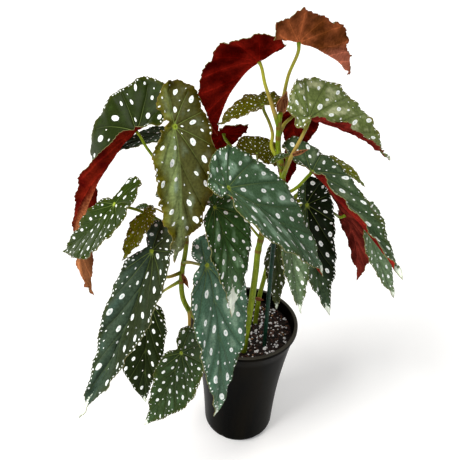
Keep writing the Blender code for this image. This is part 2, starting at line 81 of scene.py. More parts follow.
# Pot, as in the solids: a cone with a slightly hollow wall, a turned rim, a rounded foot
# and drain notches
POT_HEIGHT = 170.0
RIM_RADIUS = 65.0
RIM_DEPTH = 7.0
LIP_ROUNDING = 1.0
STEP_ROUNDING = 0.6
WALL = 1.6
WALL_RADIUS_TOP = 62.3
WALL_HOLLOW = 3.5
WALL_STEP = 12
FOOT_RADIUS = 44.5
FOOT_ROUNDING = 8.0
DRAIN_COUNT = 6
DRAIN_RADIUS = 6.0
DRAIN_LENGTH = 10.0
DRAIN_FIRST_DEG = 3.0
POT_STEPS = 160
POT_SHARP_DEG = 38

# Potting mix: the heights of its top, of a ring on its side and of its foot, and its play
SOIL_HEIGHT = 155.0
SOIL_SIDE = 90.0
SOIL_FOOT = 12.0
SOIL_GAP = 0.3
SOIL_RINGS = 44
SOIL_STEPS = 132

# Stake: a coated rod with fine beads, pushed into the mix
STAKE_RADIUS = 2.4
STAKE_PLACE = (25.0, -26.0)
STAKE_TOP = 308.0
STAKE_SUNK = 4.0
STAKE_TIP = 1.0
STAKE_BEAD = 0.12
STAKE_BEAD_PITCH = 5.0
STAKE_RINGS = 90
STAKE_SIDES = 20

# Lumps of the mix's top: how close they are, where they are read, and their height
LUMPS = [(0.045, 3.0, 1.6), (0.22, 9.0, 0.9)]

# Grains on the mix: how many, their sizes, their shape, their colours and roughness
GRAINS = {
    "perlite_grains": (360, (0.8, 2.7), (1.0, 1.0, 0.8), ("#d4d6d6", "#fbfbfa"), 0.7),
    "bark_bits": (420, (0.9, 2.6), (1.5, 0.8, 0.45), ("#20110b", "#5a3522"), 0.8),
    "pale_chips": (60, (0.8, 1.8), (1.5, 0.8, 0.4), ("#7a4f30", "#b58a5c"), 0.8),
}
GRAIN_SEED = 40
GRAIN_INSET = 1.5
GRAIN_SIZES = (0.6, 1.0)
GRAIN_TILT = (-0.7, 0.7)
GRAIN_LIFT = (0.1, 0.7)
GRAIN_DENTS = (0.72, 1.15)

# The blade's sheet. Behind the stalk, the two halves' widths and folds blend over these
# shares of its length. The margin's ripple turns by RIPPLE_STEP from point to point.
BLADE_THICKNESS = 0.6
WIDTH_FADES_OVER = 0.05
FOLD_FADES_OVER = 0.15
RIPPLE_STEP = 2.1
BLADE_SHARP_DEG = 62

# The margin's teeth and scallops
TOOTH_PITCH = 4.6
TOOTH_HEIGHT = 0.9
TOOTH_SIZES = (0.4, 1.3)
SCALLOP = 0.8
OUTLINE_SAMPLES = 16

# The net of triangles: its steps, and in steps what its points keep clear of
GRID_STEP = 3.0
GRID_ROW = 0.87
VEIN_STEP = 2.4
VEIN_SHOULDER = 1.1
RIM_CLEARANCE = 0.28
POINT_CLEARANCE = 0.3

# The relief: pillows between the veins, grooves above them, ribs below them, puckers
# all over and ruffles near the margin
PILLOW_SPAN = 4.5
PILLOW_HEIGHT = 0.85
VEIN_WIDTH = 0.9
GROOVE_DEPTH = 0.35
RIB_HEIGHT = 0.7
PUCKER = 0.035
PUCKER_STEP = 5.0
PUCKER_HEIGHT = 1.6
RUFFLE_LENGTH = 27.0
RUFFLE_HEIGHT = 1.0
RUFFLE_SPAN = 7.0
SHORT_RUFFLE_LENGTH = 0.57
SHORT_RUFFLE_SHARE = 0.6
RELIEF_MARGIN = 3.0
STALK_CLEARANCE = 7.0

# The places of a blade's materials, and its seed, before its number is added
TOP, UNDER, SPOT, RIM = range(4)
BLADE_SEED = 100

# How far apart two blades' patterns are read, and how the white tip narrows
PATTERN_STEP = 37.0
TIP_WEDGE = 0.018

# Blade lengths at which the teeth, the net, the relief and the spots have their full size
TEETH_LENGTH = 90.0
NET_LENGTH = 110.0
RELIEF_LENGTH = 130.0
SPOTS_LENGTH = 140.0

# The least scale of the teeth, the net, its grid and the dots, on the smallest blades
LEAST_TEETH_SIZE = 0.45
LEAST_NET_SIZE = 0.35
LEAST_GRID_SIZE = 0.3
LEAST_DOT_SIZE = 0.5

# A tooth in shares of its pitch and height, leaning forwards, and leaning backwards
TOOTH_FORWARDS = [(0.0, 0.0), (0.42, 0.5), (0.78, 1.0), (0.92, 0.35)]
TOOTH_BACKWARDS = [(0.0, 0.0), (0.08, 0.35), (0.22, 1.0), (0.58, 0.5)]

# Broad waves of the outline: each one's length in teeth, and its share of the scallop
SCALLOP_WAVES = [(6.3, 0.7), (3.4, 0.3)]

# Spots: the radius, the room between two of them, and how many are thrown
SPOT_KINDS = [(2.7, 8.5, 320), (1.9, 6.5, 260), (1.2, 5.0, 240), (0.75, 4.2, 300)]

# From the least to the most: a spot's size, its half length and half width in radii, its
# turn from the vein beside it, and the swell of its outline
SPOT_SIZES = (0.78, 1.12)
SPOT_LENGTHS = (1.15, 1.5)
SPOT_WIDTHS = (0.7, 0.85)
SPOT_TURNS = (-0.25, 0.25)
SPOT_SWELL = (0.92, 1.06)

# What a spot keeps clear of the margin, the veins and the stalk
SPOT_RIM_ROOM = 1.9
SPOT_VEIN_ROOM = 0.5
SPOT_STALK_ROOM = 5.0

# Corners around a spot, for half lengths over the first number, and the half length
# from which a spot also has a corner in its middle
SPOT_CORNERS = [(1.8, 12), (1.1, 8), (0.0, 6)]
SPOT_MIDDLE_FROM = 1.1

# The small dots inside the teeth
DOT_RADIUS = 0.85
DOT_SIZES = (0.7, 1.15)
DOT_TURNS = (-0.5, 0.5)
DOT_INSET = 1.75
DOT_RIM_ROOM = 0.25
DOT_VEIN_ROOM = 0.3
DOT_ROOM = 0.35
DOTS_KEPT = 0.85

# Canes, with a swollen ring at each node
CANE_SUNK = 6.0
CANE_SIDES = 18
CANE_SAMPLES = 14
NODE_SWELL = 0.16
NODE_SPAN = 3.2

# Stalks: thicker at the cane, and flared and sunk into the blade at the other end
STALK_ROOT_RADIUS = 2.5
STALK_RADIUS = 1.45
STALK_END_LENGTH = 6.0
STALK_FLARE = 0.35
STALK_SINK = 0.45
STALK_SIDES = 12
STALK_SAMPLES = 8
STALK_TAN = (0.1, 0.9)
STALK_SEED = 66
SMALL_BLADE = 35.0
SMALL_STALK_SCALE = 0.6

# Dry stipules
STIPULE_ROWS = 14
STIPULE_COLUMNS = 9
STIPULE_WRAP_DEG = 230
STIPULE_THICKNESS = 0.35

# The half outline on the wide side of a blade, from the notch at the stalk to
# the tip, and on the narrow side, from the tip back. The stalk is at (0, 0), and
# the wide side has the large rounded base lobe.
TIP = (1.0, 0.0)
WIDE_SIDE = [
    (-0.03, -0.05), (-0.12, -0.10), (-0.24, -0.10), (-0.33, -0.03), (-0.36, 0.07),
    (-0.33, 0.17), (-0.25, 0.25), (-0.12, 0.30), (0.05, 0.33), (0.22, 0.335),
    (0.40, 0.305), (0.56, 0.245), (0.70, 0.17), (0.82, 0.10), (0.92, 0.04),
]
NARROW_SIDE = [
    (0.93, -0.02), (0.84, -0.055), (0.73, -0.10), (0.60, -0.15), (0.46, -0.19),
    (0.32, -0.21), (0.20, -0.205), (0.10, -0.175), (0.03, -0.12), (0.0, -0.075),
]

# Veins on the flat blade: start, bend and end, and how strong each one is.
VEINS = [
    ((0.0, 0.0), (0.5, 0.0), (0.975, 0.0), 1.0),
    ((0.0, 0.0), (-0.16, -0.01), (-0.30, 0.02), 0.5),
    ((0.0, 0.0), (-0.13, 0.08), (-0.25, 0.19), 0.6),
    ((0.0, 0.0), (-0.04, 0.13), (-0.07, 0.275), 0.6),
    ((0.0, 0.0), (0.07, 0.15), (0.16, 0.305), 0.7),
    ((0.0, 0.0), (0.18, 0.13), (0.38, 0.28), 0.8),
    ((0.22, 0.0), (0.38, 0.07), (0.57, 0.215), 0.6),
    ((0.44, 0.0), (0.58, 0.05), (0.745, 0.13), 0.5),
    ((0.64, 0.0), (0.75, 0.03), (0.87, 0.062), 0.4),
    ((0.0, 0.0), (0.06, -0.08), (0.14, -0.17), 0.6),
    ((0.0, 0.0), (0.16, -0.09), (0.33, -0.19), 0.7),
    ((0.20, 0.0), (0.34, -0.06), (0.51, -0.16), 0.6),
    ((0.42, 0.0), (0.55, -0.04), (0.70, -0.10), 0.5),
    ((0.62, 0.0), (0.73, -0.02), (0.85, -0.045), 0.4),
]


@dataclass
class Leaf:
    """One blade: where its stalk ends, how it hangs and how it is shaped.

    at: the stalk's end on the blade's top face. heading: the compass angle of
    the midrib, from +X towards +Y. pitch and droop: the midrib's slope at the
    stalk, and what it has turned by at the tip. side: 1 with the wide half on
    the left, -1 on the right. roll and twist: the left half raised at the stalk,
    and what that gains by the tip. wide_fold and narrow_fold: how far each half
    is folded up from flat. wide, narrow and lobe: the size of each half and of
    the base lobe. bend: the midrib's sideways curve, in degrees. wave and ruffle:
    the broad and the fine waves of the margin. Lengths are in millimetres.
    """
    name: str
    look: str
    at: tuple
    heading: float
    pitch: float
    droop: float
    length: float
    side: int = 1
    roll: float = 0.0
    twist: float = 0.0
    wide_fold: float = 8.0
    narrow_fold: float = 8.0
    wide: float = 1.0
    narrow: float = 1.0
    lobe: float = 1.0
    bend: float = 0.0
    wave: float = 0.012
    ruffle: float = 1.0


LEAVES = [
    Leaf("leaf_left_long", "moss", (-117, 5, 404), 194, -40, -79, 215, -1, -8, 115, 33, 70,
         0.72, 0.36, 0.68, -15),
    Leaf("leaf_centre_left", "painted_sheen_and_pale_tip", (-73, -50, 433), 290, -48, -55, 128, 1, -3, 4, 18, 8,
         0.72, 0.83, 0.93, -9, 0.025, 2.2),
    Leaf("leaf_left_side", "fresh", (-133, -45, 349), 177, -50, -9, 109, 1, -16, 0, 4, 24,
         1.26, 0.82, 1.02, -36),
    Leaf("leaf_low_left", "slate", (-96, -60, 307), 244, -58, 11, 179, 1, 1, 2, 29, 28,
         0.62, 0.68, 0.51, -13),
    Leaf("leaf_low_inner", "deep", (-110, -10, 200), 261, -58, -17, 125, -1, -2, 0, 11, 5,
         1.07, 0.87, 1.0, -4),
    Leaf("leaf_low_front", "forest", (-68, -70, 181), 229, -67, 5, 102, 1, -3, -1, 11, 10,
         1.13, 1.0, 0.91, -17),
    Leaf("leaf_pot_front", "mist", (-42, -70, 300), 305, -59, -21, 161, 1, -4, 3, 0, 10,
         0.74, 0.88, 0.5, -16),
    Leaf("leaf_centre_dark", "jade", (-36, -66, 363), 311, -52, -28, 107, 1, -4, -3, 1, 9,
         0.94, 0.98, 0.45, -12),
    Leaf("leaf_centre_front", "teal", (-24, -102, 402), 16, -32, -21, 137, 1, 23, 8, 11, 14,
         0.96, 1.39, 0.41, -12),
    Leaf("leaf_right_inner", "inner", (56, -14, 340), 295, -69, -6, 129, 1, -3, 1, 12, 19,
         0.65, 0.75, 0.6, 19),
    Leaf("leaf_right_small", "ash", (36, -46, 331), 289, -59, -18, 90, 1, -1, 0, 25, 22,
         0.57, 0.72, 0.5, 10),
    Leaf("leaf_right_narrow", "dusk", (32, 2, 285), 279, -74, -10, 87, 1, 2, 0, 15, 15,
         0.38, 0.8, 0.5, 3),
    Leaf("leaf_right_long", "bronze", (52, -49, 394), 324, -28, -20, 129, 1, -11, 2, 24, 33,
         0.65, 0.79, 0.85, 9),
    Leaf("leaf_upper_right", "pale", (44, -50, 445), 17, -16, -27, 102, 1, 22, 0, 23, 76,
         1.22, 0.37, 0.55, 2, 0.02, 1.6),
    Leaf("leaf_right_hanging", "hanging", (96, -20, 333), 31, -55, -28, 105, -1, -2, -2, -2, 9,
         0.71, 1.12, 1.5, -2),
    Leaf("leaf_right_far", "ash", (115, -40, 334), 309, -62, 6, 80, 1, -2, 3, 6, 8,
         0.78, 0.86, 0.8, 14),
    Leaf("leaf_right_olive", "lime", (62, -18, 387), 346, 6, -51, 52, 1, 1, 2, 9, 8),
    Leaf("leaf_top", "brick", (28, -50, 509), 31, -17, -13, 93, -1, -8, 0, 76, 34,
         0.80, 0.9, 0.75, -34, 0.03, 2.0),
    Leaf("leaf_top_red", "red", (-2, -30, 487), 142, -38, -42, 98, 1, -2, 0, 40, 34,
         1.10, 1.0, 0.91, -4, 0.02, 1.4),
    Leaf("leaf_upper_red", "red", (36, -4, 434), 80, -57, -18, 65, -1, 3, 0, 5, 7,
         1.06, 0.97, 0.6, -2),
    Leaf("leaf_upper_young", "young", (4, -22, 446), 194, -10, -27, 45, -1, -8, -1, 20, 11,
         1.0, 1.0, 1.2, wave=0.03, ruffle=2.0),
    Leaf("leaf_mid_red", "wine", (-31, 5, 406), 110, -36, -27, 76, -1, 11, -1, 13, 21,
         0.97, 1.18, 1.04, 1),
    Leaf("leaf_mid_young", "young", (2, -20, 397), 8, -20, -20, 31, 1, 45, 0, 30, 8,
         1.6, 1.0, 2.0, 0, 0.03, 2.0),
    Leaf("leaf_mid_bud", "forest", (18, -56, 408), 29, 25, -34, 17),
    Leaf("leaf_mid_crinkled", "wine", (32, -12, 390), 85, -70, -10, 40, -1, wide=0.75,
         wave=0.03),
    Leaf("leaf_left_behind", "behind", (-88, 25, 396), 188, -8, -27, 62, 1, -6, -3, 7, 11,
         0.81, 1.04),
    Leaf("leaf_left_young", "yolk", (-103, -50, 341), 219, -50, -14, 51, 1, 1, -3, 9, 9,
         lobe=0.6, wave=0.03, ruffle=2.0),
    Leaf("leaf_left_bud", "forest", (-106, -14, 331), 184, 2, -40, 17, 1, -8, narrow_fold=13),
    Leaf("leaf_left_bud_upper", "forest", (-94, 0, 339), 52, 27, -21, 17),
    Leaf("leaf_centre_bud", "shade", (-30, -20, 348), 137, 26, -21, 21),
]


@dataclass
class Look:
    """Colours of one kind of blade, and how it is spotted.

    centre and margin: the top face's colours. under: the lower face's. lit: the
    lower face where light comes through. spots: the spots' size. share: how many
    of the small ones are kept. tip: the white share at the tip. rim: the thin line
    along the margin. border: how far the margin's colour reaches in. half and
    painted_half_shade: the colour and strength of painted shade on the wide half, where it
    is turned from the light. far: painted light coming through the lower face near
    the tip. sheen, gloss and patch: the colour, strength and fineness of painted
    highlights between the veins; the colour also pales the tip. slot: the material
    slot, which nothing uses.
    """
    centre: str
    margin: str
    under: str = "#5a1210"
    lit: str = "#7a2018"
    spots: float = 1.0
    share: float = 1.0
    tip: float = 0.03
    rim: str = "#6a5038"
    border: float = 0.0
    half: str = "#2a3010"
    painted_half_shade: float = 0.0
    far: str = ""
    painted_sheen_and_pale_tip: str = "#6a8a6c"
    painted_sheen_strength: float = 0.35
    patch: float = 0.07
    slot: str = "leaf_green"


LOOKS = {
    "moss": Look("#232f08", "#3a4204", "#4a0806", "#6a180c", 1.2, 0.45, 0.0, "#7a5a34", 2.0,
                 painted_sheen_and_pale_tip="#384c1c", far="#96603c"),
    "painted_sheen_and_pale_tip": Look("#8a9a60", "#5c580e", "#5a0f0c", "#7a2018", 1.0, 0.5, 0.02, "#8a6a40",
                  9.0, "#342c00", 0.85, painted_sheen_and_pale_tip="#93a890", painted_sheen_strength=1.0, patch=0.075),
    "fresh": Look("#283a06", "#3c4404", "#5a1a10", "#8a4a2a", 1.0, 0.7, 0.02,
                  painted_sheen_and_pale_tip="#46581a", painted_sheen_strength=0.25, patch=0.1),
    "slate": Look("#3c4c3a", "#38421c", tip=0.16, rim="#7a8070", half="#272c10",
                  painted_half_shade=0.75, painted_sheen_and_pale_tip="#4c665c", painted_sheen_strength=0.5),
    "mist": Look("#4c6c56", "#304424", tip=0.1, rim="#6c7450", painted_sheen_and_pale_tip="#86a28a", painted_sheen_strength=0.7),
    "deep": Look("#1a240a", "#222c06", tip=0.08, rim="#6a7050", painted_sheen_and_pale_tip="#37462c", painted_sheen_strength=0.25),
    "shade": Look("#0c1204", "#121804", tip=0.04, rim="#4a5030", painted_sheen_and_pale_tip="#2c3c2c", painted_sheen_strength=0.3),
    "forest": Look("#304220", "#3a440c", tip=0.1, rim="#7a7450", painted_sheen_and_pale_tip="#4a6844", painted_sheen_strength=0.5),
    "behind": Look("#36462c", "#2e3c16", "#5a1a10", "#7a2018", 0.8, 0.35),
    "jade": Look("#325026", "#1c2c06", tip=0.3, rim="#5c6434", painted_sheen_and_pale_tip="#7ea27a", painted_sheen_strength=0.7),
    "inner": Look("#3e5436", "#34441c", tip=0.12, rim="#5c6434", half="#0c1404",
                  painted_half_shade=0.95, painted_sheen_and_pale_tip="#587058", painted_sheen_strength=0.4),
    "teal": Look("#466244", "#3a4e22", tip=0.13, rim="#5c6434", painted_sheen_and_pale_tip="#84a288", painted_sheen_strength=0.9),
    "bronze": Look("#3e5236", "#424a20", tip=0.13, rim="#6c6a3c", painted_sheen_and_pale_tip="#7c8c68", painted_sheen_strength=0.6),
    "pale": Look("#66743e", "#6a6220", "#4a0e0a", "#6a1e18", 1.25, tip=0.03, rim="#8a8a58",
                 painted_sheen_and_pale_tip="#acb286", painted_sheen_strength=1.0, patch=0.1),
    "hanging": Look("#3e5e38", "#33480e", "#441410", "#66241c", tip=0.05, rim="#6a3a28"),
    "lime": Look("#626a06", "#6c680c", slot="leaf_olive"),
    "young": Look("#4e4c02", "#544402", "#7a2c1c", "#a05a3a", 0.6, 0.45, painted_sheen_strength=0.4,
                  painted_sheen_and_pale_tip="#7c8040", slot="leaf_olive"),
    "yolk": Look("#7c7c0a", "#6a6006", "#7a2c1c", "#a05a3a", 0.7, 0.7, painted_sheen_strength=0.4,
                 painted_sheen_and_pale_tip="#8c9040", slot="leaf_olive"),
    "ash": Look("#637a58", "#44542c", tip=0.12, rim="#5c6434", painted_sheen_and_pale_tip="#8c9c7e", painted_sheen_strength=0.8),
    "dusk": Look("#343e20", "#303408", tip=0.12, rim="#5c6434", painted_sheen_and_pale_tip="#626a48", painted_sheen_strength=0.5),
    "wine": Look("#2c3a18", "#38420f", "#3c0201", "#520603", slot="leaf_maroon"),
    "red": Look("#2c3a18", "#38420f", "#400301", "#6c120a", slot="leaf_maroon"),
    "brick": Look("#2c3a18", "#38420f", "#5a2e12", "#8a4a2a", far="#945440",
                  slot="leaf_maroon"),
}

MAIN_CANE = [
    (1, -37, 158), (3, -37, 192), (6, -37, 232), (8, -37, 272), (9, -36, 297),
    (16, -34, 335), (27, -32, 368), (25, -32, 392), (21, -32, 407), (19, -32, 441),
]
LEFT_CANE = [
    (-46, -5, 158), (-55, -8, 174), (-65, -10, 191), (-71, -12, 208), (-73, -13, 229),
    (-72, -14, 247), (-67, -15, 284), (-67, -15, 310), (-70, -15, 345),
]
BACK_CANE = [
    (15, 12, 158), (17, 14, 190), (22, 18, 222), (28, 20, 260), (37, 18, 299), (48, 14, 335),
]

# For each leaf on a cane: the height that its stalk leaves the cane at, and
# the places that the stalk passes on its way to the blade.
MAIN_STALKS = {
    "leaf_centre_left": (318, [(-24, -33, 366), (-38, -38, 406), (-47, -44, 426)]),
    "leaf_centre_dark": (330, [(-9, -36, 347), (-28, -47, 358)]),
    "leaf_centre_front": (345, [(6, -62, 368), (-10, -84, 385)]),
    "leaf_right_long": (358, [(39, -40, 371)]),
    "leaf_upper_right": (378, [(31, -56, 412), (38, -57, 431)]),
    "leaf_top": (434, [(22, -23, 452), (24, -31, 476)]),
    "leaf_top_red": (430, [(11, -34, 452), (4, -36, 470)]),
    "leaf_upper_red": (420, [(25, -22, 428)]),
    "leaf_upper_young": (394, [(15, -26, 407), (15, -24, 419), (11, -22, 430)]),
    "leaf_mid_red": (362, [(-5, -10, 380)]),
    "leaf_mid_young": (372, [(14, -20, 374), (6, -16, 380)]),
    "leaf_mid_bud": (388, [(21, -46, 398)]),
    "leaf_mid_crinkled": (362, [(29, -26, 378), (31, -22, 388)]),
    "leaf_centre_bud": (310, [(-14, -26, 335)]),
}
LEFT_STALKS = {
    "leaf_left_long": (340, [(-84, -5, 355), (-98, 0, 376), (-108, 2, 390)]),
    "leaf_left_behind": (335, [(-76, 8, 370)]),
    "leaf_left_side": (291, [(-88, -22, 315), (-110, -34, 336), (-121, -38, 342)]),
    "leaf_left_young": (300, [(-84, -30, 318), (-94, -40, 328)]),
    "leaf_left_bud": (300, [(-86, -8, 316), (-98, -8, 324)]),
    "leaf_left_bud_upper": (308, [(-82, -2, 322)]),
    "leaf_low_left": (248, [(-86, -25, 249), (-94, -36, 262)]),
    "leaf_low_inner": (236, [(-86, -9, 223), (-96, 2, 207)]),
    "leaf_low_front": (191, [(-63, -26, 190), (-63, -45, 178)]),
    "leaf_pot_front": (262, [(-60, -34, 276), (-48, -54, 288)]),
}
BACK_STALKS = {
    "leaf_right_inner": (318, []),
    "leaf_right_small": (290, [(46, 0, 305), (44, -24, 320)]),
    "leaf_right_narrow": (258, []),
    "leaf_right_hanging": (318, [(70, 14, 325), (88, 2, 322)]),
    "leaf_right_far": (326, [(90, 14, 338), (107, -12, 331)]),
    "leaf_right_olive": (332, [(57, 10, 352), (60, 2, 374)]),
}

# Each cane: its route, its radius at the foot and at the top, its stalks, and
# the heights of the ringed nodes that carry no leaf.
CANES = {
    "stem_main": (MAIN_CANE, (3.9, 2.3), MAIN_STALKS, [297]),
    "stem_left": (LEFT_CANE, (3.3, 2.4), LEFT_STALKS, []),
    "stem_back": (BACK_CANE, (3.0, 2.2), BACK_STALKS, []),
}

# Papery stipules: foot, tip and width.
STIPULES = {
    "sheath_top": ((19.6, -32, 442.3), (23.5, -35, 463), 5.0),
    "stipule_pink": ((31, -59.9, 415), (44, -64.6, 423), 2.0),
    "stipule_left": ((-70.7, -18.0, 247), (-64, -22.6, 233), 2.6),
    "stipule_back": ((13, 9.95, 196), (23, 8.95, 194), 2.4),
}


def colour(code):
    """Linear RGB from a hex code."""
    values = []
    for i in (1, 3, 5):
        share = int(code[i:i + 2], 16) / 255
        values.append(share / 12.92 if share <= 0.04045 else ((share + 0.055) / 1.055) ** 2.4)
    return (*values, 1.0)


class Shading:
    """A material's node tree, with short calls for the nodes that this scene uses."""

    def __init__(self, name, roughness, specular=0.5):
        self.material = bpy.data.materials.new(name)
        self.material.use_nodes = True
        self.tree = self.material.node_tree
        self.shader = self.tree.nodes["Principled BSDF"]
        self.shader.inputs["Roughness"].default_value = roughness
        self.shader.inputs["Specular IOR Level"].default_value = specular
        self.bumps = {}

    def plug(self, socket, value):
        """Link a node's output to the socket, or set a number, a vector or a hex colour."""
        if hasattr(value, "is_output"):
            self.tree.links.new(value, socket)
        else:
            socket.default_value = colour(value) if isinstance(value, str) else value

    def add(self, kind, inputs, output, **settings):
        """A new node with these inputs and settings, of which one output is returned."""
        made = self.tree.nodes.new("ShaderNode" + kind)
        for key, value in settings.items():
            setattr(made, key, value)
        for key, value in inputs.items():
            self.plug(made.inputs[key], value)
        return made.outputs[output]

    def attribute(self, name, output="Fac"):
        return self.add("Attribute", {}, output, attribute_name=name)

    def place(self):
        return self.add("TexCoord", {}, "Object")

    def math(self, operation, *values):
        return self.add("Math", dict(enumerate(values)), "Value", operation=operation)

    def axis(self, vector, name):
        return self.add("SeparateXYZ", {0: vector}, name)

    def length(self, vector):
        return self.add("VectorMath", {0: vector}, "Value", operation="LENGTH")

    def stretch(self, vector, scale):
        return self.add("VectorMath", {0: vector, 1: scale}, "Vector", operation="MULTIPLY")

    def brightened(self, base, factor):
        return self.add("HueSaturation", {"Color": base, "Value": factor}, "Color")

    def noise(self, vector, scale, detail=3.0):
        inputs = {"Vector": vector, "Scale": scale, "Detail": detail, "Roughness": NOISE_ROUGHNESS}
        return self.add("TexNoise", inputs, "Fac")

    def cells(self, vector, scale):
        """How far each place is from the nearest of the points thrown at random."""
        return self.add("TexVoronoi", {"Vector": vector, "Scale": scale}, "Distance")

    def span(self, value, low, high, to_low=0.0, to_high=1.0):
        """Value mapped smoothly from low..high to to_low..to_high, and held at the ends."""
        inputs = {"Value": value, "From Min": low, "From Max": high, "To Min": to_low,
                  "To Max": to_high}
        return self.add("MapRange", inputs, "Result", interpolation_type="SMOOTHSTEP")

    def mix(self, share, a, b):
        return self.add("Mix", {"Factor": share, MIX_A: a, MIX_B: b}, MIX_RESULT,
                        data_type="RGBA")

    def blend(self, value, low, high, a, b):
        """Colour a where the value is under low, b where it is over high."""
        return self.mix(self.span(value, low, high), a, b)

    def base(self, value):
        """Takes the value as the surface's colour."""
        self.plug(self.shader.inputs["Base Color"], value)

    def roughness(self, value):
        self.plug(self.shader.inputs["Roughness"], value)

    def bump(self, height, strength, distance=0.001):
        """Bumps the surface, on top of the bumps before."""
        inputs = {"Height": height, "Strength": strength, "Distance": distance, **self.bumps}
        self.bumps = {"Normal": self.add("Bump", inputs, "Normal")}
        self.plug(self.shader.inputs["Normal"], self.bumps["Normal"])


def blade_top(name, look):
    """The blade's upper face: green patches, painted highlights and painted shade, veins, a thin
    pale edge and a white tip.
    """
    s = Shading(name, 0.45, 0.05)
    place = s.attribute("place", "Vector")
    edge = s.attribute("edge")
    vein = s.attribute("vein")
    tip = s.attribute("tip")
    fine = s.noise(place, 0.5, 4.0)
    inwards = s.math("MULTIPLY_ADD", s.noise(place, 0.055), 18.0, edge)
    green = s.blend(inwards, 6.0 + look.border * 0.4, 14.0 + look.border, look.margin, look.centre)
    # Painted shade: the wide half is darkened where it is turned from the light, less so towards
    # the tip.
    darker = s.math("MULTIPLY", s.span(s.axis(place, "Y"), -1.5, 1.5),
                    s.span(tip, -0.5, -0.3, look.painted_half_shade, look.painted_half_shade * 0.4))
    green = s.mix(darker, green, look.half)
    # Painted highlights: pale patches between the veins, faint near the margin and on the shaded
    # half. The tip is also paled with the same colour.
    painted_sheen_and_pale_tip = s.noise(s.stretch(place, (0.7, 1.0, 1.0)), look.patch, 2.0)
    painted_sheen_and_pale_tip = s.math("MULTIPLY", s.span(painted_sheen_and_pale_tip, 0.46, 0.66), s.span(vein, 1.2, 5.0))
    painted_sheen_and_pale_tip = s.math("MULTIPLY", painted_sheen_and_pale_tip, s.span(edge, 1.0, 6.0 + look.border, 0.0, look.painted_sheen_strength))
    painted_sheen_and_pale_tip = s.math("MULTIPLY", painted_sheen_and_pale_tip, s.span(darker, 0.0, 1.0, 1.0, 0.2))
    painted_sheen_and_pale_tip = s.math("MAXIMUM", painted_sheen_and_pale_tip, s.span(tip, -0.35, 0.05, 0.0, 0.4))
    green = s.mix(painted_sheen_and_pale_tip, green, look.painted_sheen_and_pale_tip)
    green = s.brightened(green, s.span(fine, 0.25, 0.75, 0.72, 1.25))
    # Darker along the veins: partly the veins' own colour, partly painted shade in their grooves.
    green = s.mix(s.span(vein, 0.1, 2.4, 0.4, 0.0), green, s.brightened(green, 0.5))
    line = s.mix(s.span(vein, 0.12, 0.42, 0.6, 0.0), green, VEIN_GREEN)
    away = s.length(s.attribute("from_stalk", "Vector"))
    line = s.mix(s.span(away, 3.0, 45.0, 1.0, 0.2), green, line)
    line = s.blend(away, 1.2, 3.4, STALK_SEAT_GREEN, line)
    ragged_tip = s.math("MULTIPLY_ADD", s.noise(place, 0.4), 0.14, tip)
    line = s.blend(ragged_tip, 0.06, 0.08, line, TIP_WHITE)
    s.base(s.mix(s.span(edge, 0.2, 0.5, 0.5, 0.0), line, look.rim))
    s.roughness(s.span(fine, 0.2, 0.8, 0.28, 0.44))
    s.bump(s.noise(place, 0.9), 0.3, 0.0006)
    s.bump(s.span(vein, 0.0, 1.6), 0.4, 0.0008)
    return s.material


def blade_under(name, look):
    """The blade's lower face: maroon or brick with painted light coming through, painted shade
    between its raised veins, and paler veins.
    """
    s = Shading(name, 0.7, 0.0)
    place = s.attribute("place", "Vector")
    edge = s.attribute("edge")
    vein = s.attribute("vein")
    fine = s.noise(place, 0.5, 4.0)
    red = s.blend(s.noise(place, 0.05), 0.35, 0.65, look.under, look.lit)
    # Painted light coming through the blade near its tip, with a ragged edge.
    if look.far:
        ragged_tip = s.math("MULTIPLY_ADD", fine, 0.2, s.attribute("tip"))
        red = s.blend(ragged_tip, -0.65, -0.3, red, look.far)
    # Painted shading: lighter over the raised veins, darker in the hollows between them.
    painted_pleat_shading = s.span(vein, 0.5, 8.0, 1.25, 0.75)
    red = s.brightened(red, s.math("MULTIPLY", painted_pleat_shading, s.span(fine, 0.25, 0.75, 0.75, 1.25)))
    red = s.mix(s.span(vein, 0.2, 0.9, 0.8, 0.0), red, s.brightened(red, 1.6))
    s.base(s.mix(s.span(edge, 0.3, 0.9, 0.5, 0.0), red, UNDER_RIM_RED))
    s.roughness(s.span(fine, 0.2, 0.8, 0.4, 0.6))
    s.bump(s.noise(place, 0.8), 0.3, 0.0006)
    return s.material


def spot_white():
    """White spots, blue-grey in the middle of the large ones."""
    s = Shading("spot_white", 0.4, 0.3)
    place = s.attribute("place", "Vector")
    depth = s.math("MULTIPLY_ADD", s.noise(place, 0.9, 2.0), 0.3, s.attribute("spot"))
    s.base(s.blend(depth, 0.4, 1.0, "#f8fcf8", "#bfd2ce"))
    s.bump(s.noise(place, 0.9, 2.0), 0.2, 0.0006)
    return s.material


def blade_rim():
    """The cut edge of a blade, between its faces."""
    s = Shading("blade_rim", 0.5, 0.2)
    place = s.attribute("place", "Vector")
    s.base(s.mix(s.noise(place, 0.3, 2.0), "#5e5a2c", "#8e8c5a"))
    return s.material


def unit(rows):
    """Each row scaled to length one."""
    return rows / np.maximum(np.linalg.norm(rows, axis=1), 1e-12)[:, None]


def left_of(way):
    """Each flat direction turned a quarter to the left."""
    return np.stack((-way[:, 1], way[:, 0]), axis=1)


def blade_widths(leaf, u, low):
    """The half width's scale at u, on the lower (narrow) half where low is true."""
    fade = np.clip(1.0 + u / WIDTH_FADES_OVER, 0.0, 1.0)
    narrow = leaf.wide + (leaf.narrow - leaf.wide) * fade
    return np.where(low, narrow, leaf.wide)


OUTLINE = np.array([*WIDE_SIDE, TIP, *NARROW_SIDE])
NOTCH_ANGLE = math.radians(-105.5)


def polar(u, v):
    """Angles that fall steadily along the outline, from the notch round to the notch."""
    angle = np.arctan2(v, u)
    return np.where(angle > NOTCH_ANGLE, angle - 2 * math.pi, angle)


